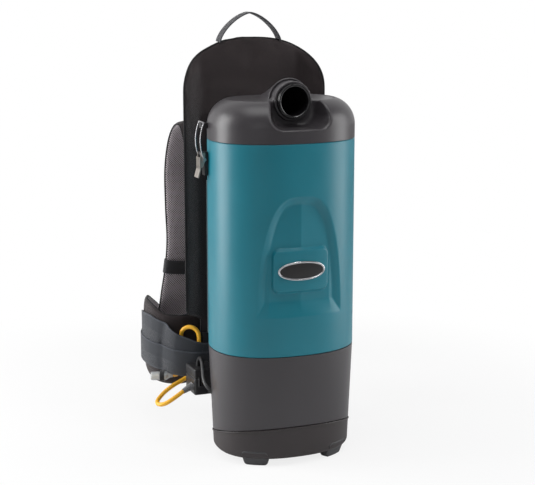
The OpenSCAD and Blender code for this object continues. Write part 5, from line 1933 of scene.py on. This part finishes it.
@dataclass
class BackPanel:
    """Padded back panel with its piping, the lumbar pad and the carry handle."""

    bottom: float = 96.0
    top: float = 745.0
    round_h: float = 98.0
    half_w: float = 138.0
    power: float = 2.5
    ear: float = 90.0
    curl: float = 36.0
    curl_power: float = 1.6
    foot_half: float = 98.0
    foot_z: tuple[float, float] = (214.0, 243.0)
    corner: float = 20.0
    seam_y: float = 164.5
    front_y: float = 157.6
    back_y: float = 179.0
    edge: float = 24.0
    channels: tuple[float, ...] = (250.0, 330.0, 410.0, 490.0, 570.0)
    piping_r: float = 2.1
    lumbar_half: tuple[float, float] = (88.0, 64.0)
    lumbar_y: tuple[float, float] = (181.5, 201.0)
    lumbar_round: float = 22.0
    waist_z: float = 157.0
    handle_half: float = 60.0
    handle_power: float = 1.5
    handle_off: float = 2.5
    handle_h: float = 53.0
    handle_y: float = 169.0
    webbing: tuple[float, float] = (12.5, 1.25)

    def half(self, z: Array) -> Array:
        """Half width of the panel.

        Args:
            z: Heights.

        Returns:
            The half width at each.
        """
        low, high = self.foot_z
        plain = self.foot_half + (self.half_w - self.foot_half) * ease((z - low) / (high - low))
        up = np.clip((z - self.top + self.round_h) / self.round_h, 0, 1)
        crown = (1 - up**self.power) ** (1 / self.power)
        return plain * crown - self.corner * (1 - quarter((z - self.bottom) / self.corner))

    def forward(self, x: Array) -> Array:
        """How far the panel's side edges curl forward at x."""
        return self.curl * (np.maximum(np.abs(x) - self.ear, 0) / (self.half_w - self.ear)) ** self.curl_power

    def droop(self, x: Array, z: Array) -> Array:
        """How far the worn left corner of the top sinks."""
        lump = np.sin(x / 7) * bell(x, -35, 22)
        return (8.5 * ease((-x - 20) / 85) + lump) * ease((z - 640) / 55)

    def inside(self, x: Array, z: Array) -> Array:
        """Distance from the panel's seam, inwards.

        Args:
            x: Places across the panel.
            z: Heights.

        Returns:
            The distance at each place.
        """
        p = self.power
        rise = np.maximum(z - self.top + self.round_h, 0) / self.round_h
        wide = np.abs(x) / self.half_w
        reach = np.maximum(wide**p + rise**p, 0.0001) ** (1 / p)
        slope = np.hypot(wide ** (p - 1) / self.half_w, rise ** (p - 1) / self.round_h) / reach ** (p - 1)
        dome = (1 - reach) / np.maximum(slope, 0.004)
        side = np.where(rise > 0, dome, self.half(z) - np.abs(x))
        return np.maximum(smooth_min(side, z - self.bottom, 14.0), 0)

    def levels(self) -> Array:
        """Heights of the panel's rows.

        Returns:
            The heights, close together at the panel's ends.
        """
        plain = np.linspace(self.bottom + self.corner, self.top - self.round_h, 96)[:-1]
        low = self.bottom + self.corner * (1 - np.cos(np.radians(np.linspace(0, 90, 7))))[:-1]
        high = self.top - self.round_h * (1 - np.sin(np.radians(np.linspace(0, 90, 36))))
        return np.concatenate([low, plain, high])

    def outline(self) -> Points:
        """Line of the seam.

        Returns:
            The line, from the left foot over the top to the right one.
        """
        z = self.levels()
        half = self.half(z)
        up = np.column_stack([-half, self.seam_y - self.forward(half), z])
        line = np.vstack([up, (up * (-1, 1, 1))[::-1][1:]])
        line[:, 2] -= self.droop(line[:, 0], line[:, 2])
        return line

    def panel(self) -> Piece:
        """The panel's cover, blown up between its sewn channels, and its piping.

        Returns:
            The panel.
        """
        z = self.levels()[:, None]
        share = -np.cos(np.radians(np.linspace(0, 180, 49)))[None]
        half = self.half(z)
        x = share * half
        inside = self.inside(x, z)
        full, soft = quarter(inside / self.edge), quarter(inside / 14)
        near = np.min([np.abs(z - c) for c in self.channels], axis=0)
        groove = 1 - 0.42 * bell(near, 0, 5) * ease((inside - 4) / 10)
        sag = 1.1 * np.sin(z / 9.1 + 0.8 * np.sin(x / 31)) * bell(z, 655, 45)
        lumps = 0.8 * np.sin(x / 13 + 0.6 * np.sin(z / 17)) * bell(inside, 9, 8)
        front = self.seam_y + (self.front_y - self.seam_y) * soft - (sag + lumps) * soft * 0.8
        back = self.seam_y + (self.back_y - self.seam_y) * full * groove
        net = pillow(x, front, back, z)
        x, y, high = np.moveaxis(net.points.copy(), -1, 0)
        net.points -= np.stack([0 * x, self.forward(x), self.droop(x, high)], -1)
        net.uv = net.points[..., ::2] * MM
        net.sewn |= (np.abs(net.points[..., 2] - 650) > 90) & (y < self.seam_y)
        for channel in self.channels:
            net.sewn[np.argmin(np.abs(z - channel))] = True
        pad = inflate(lay_grid("panel_cover", net, NYLON), 3.0, 1.6)
        piping = tube("panel_piping", self.outline(), self.piping_r, PIPING, sides=12, closed=True)
        return joined("back_panel_pad", pad, piping)

    def lumbar(self) -> Piece:
        """The lumbar pad, in two cushions with a sewn groove between them, and its piping.

        Returns:
            The pad.
        """
        (a, b), r = self.lumbar_half, self.lumbar_round
        front, back = self.lumbar_y
        z = np.concatenate([np.linspace(-b, -3, 22), [0], np.linspace(3, b, 22)])[:, None]
        half = a - r + r * np.sqrt(1 - np.clip((np.abs(z) - b + r) / r, 0, 1) ** 2)
        x = -np.cos(np.radians(np.linspace(0, 180, 37)))[None] * half
        inside = np.maximum(np.minimum(half - np.abs(x), b - np.abs(z)), 0)
        full = quarter(inside / 11)
        middle = front + 3
        net = pillow(x, middle + (front - middle) * full,
                     middle + (back - middle) * full * (1 - 0.55 * bell(z, 0, 4)), z + self.waist_z)
        net.sewn[len(z) // 2] = True
        net.faces = np.zeros((len(z) - 1, net.points.shape[1] - 1), int)
        net.faces[:, x.shape[1] - 1:] = 1
        pad = inflate(lay_grid("lumbar_cover", net, NYLON, MESH), 3.0, 1.2)
        turn = np.radians(np.linspace(0, 90, 9))
        corner = np.column_stack([a - r + r * np.sin(turn), b - r + r * np.cos(turn)])
        ring = np.vstack([corner, corner[::-1] * (1, -1), corner * (-1, -1), corner[::-1] * (-1, 1)])
        line = np.column_stack([ring[:, 0], np.full(len(ring), middle), ring[:, 1] + self.waist_z])
        piping = tube("lumbar_piping", line, 1.7, PIPING, sides=10, closed=True)
        return joined("lumbar_cushion", pad, piping)

    def handle(self) -> Piece:
        """Webbing loop over the panel's top, sewn in at both feet.

        Returns:
            The loop.
        """
        angle = np.linspace(180, 0, 61)
        q = squircle(self.handle_half, self.handle_h, self.handle_power, angle) + (self.handle_off, 0)
        share = (1 - (self.handle_half / self.half_w) ** self.power) ** (1 / self.power)
        foot = self.top - self.round_h * (1 - share) - 1.5
        line = np.column_stack([q[:, 0], np.full(len(q), self.handle_y), foot + q[:, 1]])
        line[:, 1] += 0.8 * np.sin(np.radians(angle * 2))
        return band("carry_loop", line, np.array([0.0, 1.0, 0.0]), *self.webbing, NARROW_WEBBING)

    def build(self) -> None:
        """Makes the panel, the lumbar pad and the handle."""
        install(self.panel(), "body", "black_fabric", "back_pad", fill=0.6)
        install(self.lumbar(), "body", "grey_mesh", "lumbar_pad", fill=0.7)
        install(self.handle(), "body", "webbing", "carry_handle")


# ---------- shoulder straps ----------


@dataclass
class ShoulderStraps:
    """Two curved padded straps with their slider bands and lower webbing."""

    route: Route = (
        (-86, 4, 506), (-87, 8.4, 546), (-90, 26, 580), (-93, 54, 578), (-97, 80, 546), (-100, 94, 490),
        (-104, 80, 420), (-109, 57, 360), (-114, 54, 310), (-120, 66, 250), (-126, 78, 204),
    )
    pad_back: float = 181.0
    half_w: float = 31.0
    half_t: float = 7.0
    piping_r: float = 1.5
    slider_z: float = 303.0
    foot_round: float = 7.0
    root_y: float = 200.8
    webbing: tuple[float, float] = (12.5, 1.25)
    slider_half: tuple[float, float] = (13.5, 0.9)

    def line(self) -> Points:
        """Centre line of the left strap."""
        return spline(np.array(self.route) + (0, self.pad_back, 0), 12)

    def across(self, line: Points) -> Points:
        """Direction across the strap."""
        t = tangents(line)
        return unit(np.cross(np.cross(t, (1.0, 0.0, 0.0)), t))

    def cover(self, side: Side) -> Piece:
        """One strap's cover: mesh on the side that the wearer feels, nylon outside, piping between.

        Args:
            side: Side of the strap.

        Returns:
            The strap.
        """
        line = self.line()
        run = lengths(line)
        left = np.minimum(run, run[-1] - run)
        end = quarter(left / self.foot_round)
        taper = 0.93 + 0.07 * ease(left / 60)
        fold = 1 - 0.16 * bell(line[:, 2], 452, 7) - 0.12 * bell(line[:, 2], 398, 6)
        half_w = self.half_w * taper - self.foot_round * (1 - end)
        half_t = self.half_t * end * fold * 0.92
        section = even_section(40, 2.7)
        net = sweep(line, self.across(line), section, half_w, half_t).sew((0, -1), (0, 20, -1))
        middle = (section + np.roll(section, -1, 0)) / 2
        net.faces = np.repeat((middle[None, :, 1] < 0).astype(int), len(line) - 1, 0)
        obj = inflate(lay_grid(f"strap_cover_{side.name.lower()}", net.on(side), MESH, NYLON), 3.5, 1.8)
        rims = []
        for number, sign in enumerate((-1, 1)):
            rim = side.of(line + self.across(line) * (sign * (half_w + 0.4))[:, None])
            colour = GREY_PIPING if number else PIPING
            rims.append(tube(f"strap_piping_{number}", rim[2:-2], self.piping_r, colour, sides=10))
        return joined(f"shoulder_pad_{side.name.lower()}", obj, *rims)

    def slider(self, side: Side) -> Piece:
        """Band of webbing round the strap.

        Args:
            side: Side of the strap.

        Returns:
            The band.
        """
        line = self.line()
        hanging = len(line) // 2
        i = hanging + np.argmin(np.abs(line[hanging:, 2] - self.slider_z))
        t, a = tangents(line)[i], self.across(line)[i]
        out = np.cross(t, a)
        q = squircle(self.half_w + 2.6, self.half_t + 2.8, 3, np.linspace(0, 360, 73))
        ring = side.of(line[i] + q[:, :1] * a + q[:, 1:] * out)
        net = sweep_closed(ring, band_section(*self.slider_half), *self.slider_half, side.of(t))
        obj = lay_grid(f"slider_{side.name.lower()}", net, SLIDER_WEBBING)
        edit(obj, face_out)
        return obj

    def lower(self, side: Side) -> Piece:
        """Webbing from the ladder lock to the wing's root.

        Args:
            side: Side that it hangs on.

        Returns:
            The webbing.
        """
        foot = np.array(self.route[-1], float) + (0, self.pad_back, 0)
        line = spline([foot + (0, 3, -29.3), foot + (1, 1, -42), (-116, (foot[1] + self.root_y) / 2, 137),
                       (-109, self.root_y + 9, 123), (-106, self.root_y + 0.6, 113),
                       (-106, self.root_y - 0.6, 103)], 8)
        across = side.of(np.array([1.0, -0.1, 0.0]))
        return band(f"lower_{side.name.lower()}", side.of(line), across, *self.webbing, NARROW_WEBBING)

    def build(self) -> None:
        """Makes both straps, their sliders and lower webbing."""
        for side, node in ((Side.LEFT, "shoulder_strap_left"), (Side.RIGHT, "shoulder_strap_right")):
            install(self.cover(side), "body", "grey_mesh", node, fill=0.5)
        sliders = joined("slider_bands", *[self.slider(side) for side in Side])
        install(sliders, "body", "webbing", "strap_sliders")
        lower = joined("lower_webbing", *[self.lower(side) for side in Side])
        install(lower, "body", "webbing", "strap_webbing")


# ---------- waist ----------


@dataclass
class Waist:
    """Padded hip wings, the belt webbing over them and the buckle."""

    route: Route = (
        (-89, 0, 0), (-110, 0, 0), (-132, -1, 0), (-158, 10, 1), (-173, 38, 3), (-173, 80, 4),
        (-156, 116, 3), (-124, 138, 0),
    )
    rise: Table = ((0, 0.83), (0.42, 0.86), (0.6, 1.06), (0.8, 1.1), (0.9, 0.9), (1, 0.6))
    fall: Table = ((0, 0.88), (0.25, 1), (0.6, 1), (1, 0.46))
    corner: float = 20.0
    root_corner: float = 8.0
    ear: Table = ((-88, 0), (-104, 0), (-122, 5), (-150, 22))
    hip_rise: Table = (
        (0, -9), (3, -9), (6, -3), (9, 10), (12, 26), (15, 36), (18, 33), (21, 20), (24, 8))
    side_rise: Table = ((0, -26), (6, -25), (12, -18), (15, -14), (21, -10))
    wing_y: float = 191.3
    board_y: float = 146.0
    waist_z: float = 157.0
    wing_h: float = 144.0
    half_t: float = 8.0
    piping_r: float = 1.8
    wing_first: int = 9
    belt_half: float = 25.0
    webbing_half: float = 1.2
    ease_gap: float = 0.3
    belt_back: float = 349.3
    tongue_ends: tuple[float, ...] = (-100.0, -66.0, -8.0)
    socket_ends: tuple[float, ...] = (-100.0, -70.0, -46.3)
    buckle_half: float = 34.0
    buckle_half_t: float = 7.0

    def wing_line(self, steps: int = 3) -> Points:
        """Centre line of the left wing."""
        return spline(np.array(self.route) + (0, self.wing_y, self.waist_z), steps)

    def wing(self, side: Side) -> Piece:
        """One padded wing with piping round its rim.

        Args:
            side: Side of the wing.

        Returns:
            The wing.
        """
        line = self.wing_line(15)
        s = np.linspace(0, 1, len(line))
        run = lengths(line)
        rounding = (self.corner * (1 - quarter((run[-1] - run) / self.corner))
                    + self.root_corner * (1 - quarter(run / self.root_corner)))
        edges = []
        for table in (self.rise, self.fall):
            share = np.pad(np.interp(s, *np.array(table).T), 6, mode="edge")
            edges.append(np.convolve(share, np.ones(13) / 13, "valid") * self.wing_h / 2 - rounding)
        high = (edges[0] + edges[1]) / 2
        line[:, 2] += (edges[0] - edges[1]) / 2
        t = tangents(line) * (1, 1, 0)
        out = np.cross(unit(t), (0.0, 0.0, 1.0))
        section = even_section(48, 3.2)
        thick = self.half_t * quarter(np.minimum(run, run[-1] - run) / 9) * 0.92
        up = np.broadcast_to((0.0, 0.0, 1.0), line.shape)
        net = carry(line, up, out, section, high, thick).sew((0, -1), (0, 24, -1))
        net.uv[..., 1] = run[:, None] * MM
        middle = (section + np.roll(section, -1, 0)) / 2
        net.faces = np.repeat((middle[None, :, 1] > 0.2).astype(int), len(line) - 1, 0)
        obj = inflate(lay_grid(f"wing_cover_{side.name.lower()}", net.on(side), NYLON, MESH), 3.0, 1.0)
        rim = np.vstack([line + high[:, None] * up, (line - high[:, None] * up)[::-1]])
        piping = tube("wing_piping", side.of(rim), self.piping_r, PIPING, sides=10)
        return joined(f"hip_pad_{side.name.lower()}", obj, piping)

    def band_points(self) -> Points:
        """Plan line over the board's ear and along the wing's outer skin.

        Returns:
            The line, at no height.
        """
        wing = self.wing_line()
        t = tangents(wing)
        skin = (wing + np.column_stack([-self.half_t * t[:, 1], self.half_t * t[:, 0], 0 * t[:, 0]]))
        skin = skin[self.wing_first:] * (1, 1, 0)
        ear = spline([*[(x, self.board_y + y, 0) for x, y in self.ear], skin[0]], 3)
        return np.vstack([ear[:-1], skin])

    def band_line(self, off: float, rise: Sequence[tuple[float, float]], ends: Sequence[float]) -> Points:
        """Centre line of a band of webbing on the left.

        Args:
            off: Distance from the wing's skin.
            rise: Height over the waist against the number of the point.
            ends: x of further points on the closed belt.

        Returns:
            The line.
        """
        base = self.band_points()
        t = tangents(base)
        last = int(rise[-1][0])
        lift = np.interp(np.arange(last + 1), *np.array(rise).T)
        over = (base + np.column_stack([-off * t[:, 1], off * t[:, 0], 0 * t[:, 0]]))[:last + 1]
        over[:, 2] = self.waist_z + lift
        closed = [(x, self.belt_back, self.waist_z) for x in ends]
        tail = spline([over[-1], *closed], 3) if ends else over[-1:]
        return spline(np.vstack([over[:-1], tail]), 4)

    def webbing(self, name: str, side: Side, off: float, rise: Sequence[tuple[float, float]],
                ends: Sequence[float]) -> Piece:
        """One band of belt webbing.

        Args:
            name: Name of the band.
            side: Side that it lies on.
            off: Distance from the wing's skin.
            rise: Height over the waist against the number of the point.
            ends: x of further points on the closed belt.

        Returns:
            The band.
        """
        line = side.of(self.band_line(off, rise, ends))
        return band(name, line, np.array([0.0, 0.0, 1.0]), self.belt_half, self.webbing_half, WIDE_WEBBING)

    def socket(self) -> Piece:
        """The buckle's socket with its cavity and the windows for the prongs.

        Returns:
            The socket.
        """
        y, z, h, t = self.belt_back, self.waist_z, self.buckle_half, self.buckle_half_t
        body = block("socket_body", (0, y - t, z - h), (46, y + t, z + h), 3.0, 4)
        cut(body, block("socket_room", (-5, y - t + 3, z - h + 3), (34, y + t - 3, z + h - 3), 1.0, 2))
        for sign in (-1, 1):
            low, high = sorted((z + sign * (h - 5), z + sign * (h + 6)))
            cut(body, block("window", (10, y - t + 3, low), (26, y + t - 3, high), 1.2, 2))
        ribs = [block(f"grip_{i}", (x, y - t - 0.5, z - 20), (x + 1.4, y + t + 0.5, z + 20), 0.5, 2)
                for i, x in enumerate((34, 36.6, 39.2))]
        return smooth(paint(joined("belt_socket", body, *ribs), BLACK_PLASTIC), 50)

    def tongue(self) -> Piece:
        """The buckle's tongue with its two prongs and the webbing slot.

        Returns:
            The tongue.
        """
        y, z, h, t = self.belt_back, self.waist_z, self.buckle_half, self.buckle_half_t
        plate = block("tongue_plate", (-34, y - t, z - h), (-0.3, y + t, z + h), 3.0, 4)
        cut(plate, block("tongue_slot", (-40, y - 1.5, z - 25.3), (10, y + 1.5, z + 25.3)))
        prongs = []
        for sign in (-1, 1):
            middle = z + sign * 28.15
            prongs.append(block(f"prong_{sign}", (-3, y - 3.7, middle - 2.5),
                                (28, y + 3.7, middle + 2.5), 1.0, 3))
            prongs.append(block(f"barb_{sign}", (17, y - 3.6, middle - 2.5 * (sign < 0) - 0.1),
                                (25, y + 3.6, middle + 2.6 * (sign > 0) + 0.1), 0.1, 1))
        return smooth(paint(joined("belt_tongue", plate, *prongs), BLACK_PLASTIC), 50)

    def build(self) -> None:
        """Makes the wings, the webbing and the buckle."""
        for side, node in ((Side.LEFT, "hip_wing_left"), (Side.RIGHT, "hip_wing_right")):
            install(self.wing(side), "body", "black_fabric", node, fill=0.5)
        off = self.webbing_half + self.ease_gap
        belt = joined("waist_webbing",
                      self.webbing("belt_left", Side.LEFT, off, self.hip_rise, self.tongue_ends),
                      self.webbing("belt_right", Side.RIGHT, off, self.hip_rise, self.socket_ends))
        install(belt, "body", "webbing", "hip_belt")
        wide = 3 * self.webbing_half + 2 * self.ease_gap
        sides = joined("side_webbing",
                       *[self.webbing(f"side_{side.name}", side, wide, self.side_rise, ()) for side in Side])
        install(sides, "body", "webbing", "side_belts")
        install(self.socket(), "body", "black_plastic", "buckle_socket")
        install(self.tongue(), "tongue", "black_plastic", "buckle_tongue")


# ---------- electrics ----------


@dataclass
class Electrics:
    """Switch box on the left hip, its rocker and the lead into the motor housing."""

    low: Place3 = (-138.0, 85.7, 90.0)
    high: Place3 = (-94.0, 139.7, 140.0)
    lid_line: float = 122.0
    rocker_l: float = 22.0
    rocker_w: float = 13.0
    throw: float = 14.0
    lead_d: float = 8.0
    lead_route: Route = (
        (-122, 112, 140), (-122, 110, 148.5), (-122, 104, 155), (-122.5, 96, 158), (-123.5, 87, 157.5),
        (-125, 78, 154.5), (-127, 70, 149.5), (-129, 62, 144), (-131, 54.5, 138), (-132.5, 47, 132.5),
        (-132.5, 39.5, 127), (-130, 32.5, 121.5), (-125, 27, 117), (-118.5, 22.5, 113.5),
    )

    def box(self) -> Piece:
        """The box in two halves with a shadow line between them, and the rocker's opening.

        Returns:
            The box.
        """
        (x0, y0, z0), (x1, y1, z1) = self.low, self.high
        seam = self.lid_line
        lower = block("box_lower", (x0, y0, z0), (x1, y1, seam - 0.4), 3.5, 5)
        upper = block("box_upper", (x0, y0, seam + 0.4), (x1, y1, z1), 3.5, 5)
        core = block("box_core", (x0 + 2, y0 + 2, seam - 6), (x1 - 2, y1 - 2, seam + 6), 2.0, 2)
        x, z = (x0 + x1) / 2, (z0 + z1) / 2
        wide, high = self.rocker_l / 2 + 3, self.rocker_w / 2 + 3
        bezel = block("bezel", (x - wide, y0 - 1.2, z - high), (x + wide, y0 + 4, z + high), 1.2, 3)
        obj = joined("hip_switch_box", lower, upper, core, bezel)
        apply(obj, "REMESH", mode="VOXEL", voxel_size=0.55 * MM, adaptivity=0.0)
        room = (self.rocker_l / 2 + 0.6, self.rocker_w / 2 + 0.6)
        cut(obj, block("rocker_room", (x - room[0], y0 - 4, z - room[1]), (x + room[0], y0 + 8, z + room[1])))
        return smooth(paint(obj, BLACK_PLASTIC), 35)

    def rocker(self) -> Piece:
        """The rocker, hollowed across its two ends and tipped to its off side.

        Returns:
            The rocker.
        """
        (x0, y0, z0), (x1, _, z1) = self.low, self.high
        half = self.rocker_l / 2
        across = np.linspace(-half + 1, half - 1, 15)
        face = -4 + 1.4 * (1 - (np.abs(across) / (half - 1)) ** 1.6)
        profile = [*zip(across, face), (half - 2.5, 3.0), (2.5 - half, 3.0)]
        tip = math.radians(self.throw / 2)
        ring = np.array([((x0 + x1) / 2 + x * math.cos(tip) - y * math.sin(tip),
                          y0 + 2.5 + x * math.sin(tip) + y * math.cos(tip)) for x, y in profile])
        ring = np.vstack([ring, ring[:1]])
        middle, reach = (z0 + z1) / 2, self.rocker_w / 2
        rows = []
        centre = ring.mean(0)
        for z, share in ((-reach, 0.0), (-reach, 0.9), (-reach + 0.6, 1.0), (reach - 0.6, 1.0), (reach, 0.9),
                         (reach, 0.0)):
            rows.append(at_height(centre + (ring - centre) * share, middle + z))
        obj = lay_grid("rocker_key", Net(np.stack(rows)), RUBBER)
        edit(obj, face_out)
        return smooth(obj, 35)

    def build(self) -> None:
        """Makes the box, the rocker and the lead."""
        install(self.box(), "body", "black_plastic", "switch_box")
        install(self.rocker(), "rocker", "rubber", "rocker_switch")
        lead = tube("motor_cable", spline(self.lead_route, 5), self.lead_d / 2, BLACK_JACKET)
        install(lead, "body", "lead_jacket", "motor_lead")


# ---------- whole object ----------


def dress_nodes() -> None:
    """Gives every node that stays its own finish."""
    for finish, nodes in NODE_FINISH.items():
        for node in nodes:
            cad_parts[node].material_slots[0].material = finish.material()
            LOG.info("%s: dressed as %s", node, finish.name)


def main() -> None:
    """Builds the studio and then every sub-assembly, cords first."""
    logging.basicConfig(level=logging.INFO, format="%(message)s")
    for part in (Studio(), PowerCord(), Tank(), Base(), Lid(), Filters(), BackPanel(), ShoulderStraps(),
                 Waist(), Electrics()):
        part.build()
    dress_nodes()


if __name__ == "__main__":
    main()
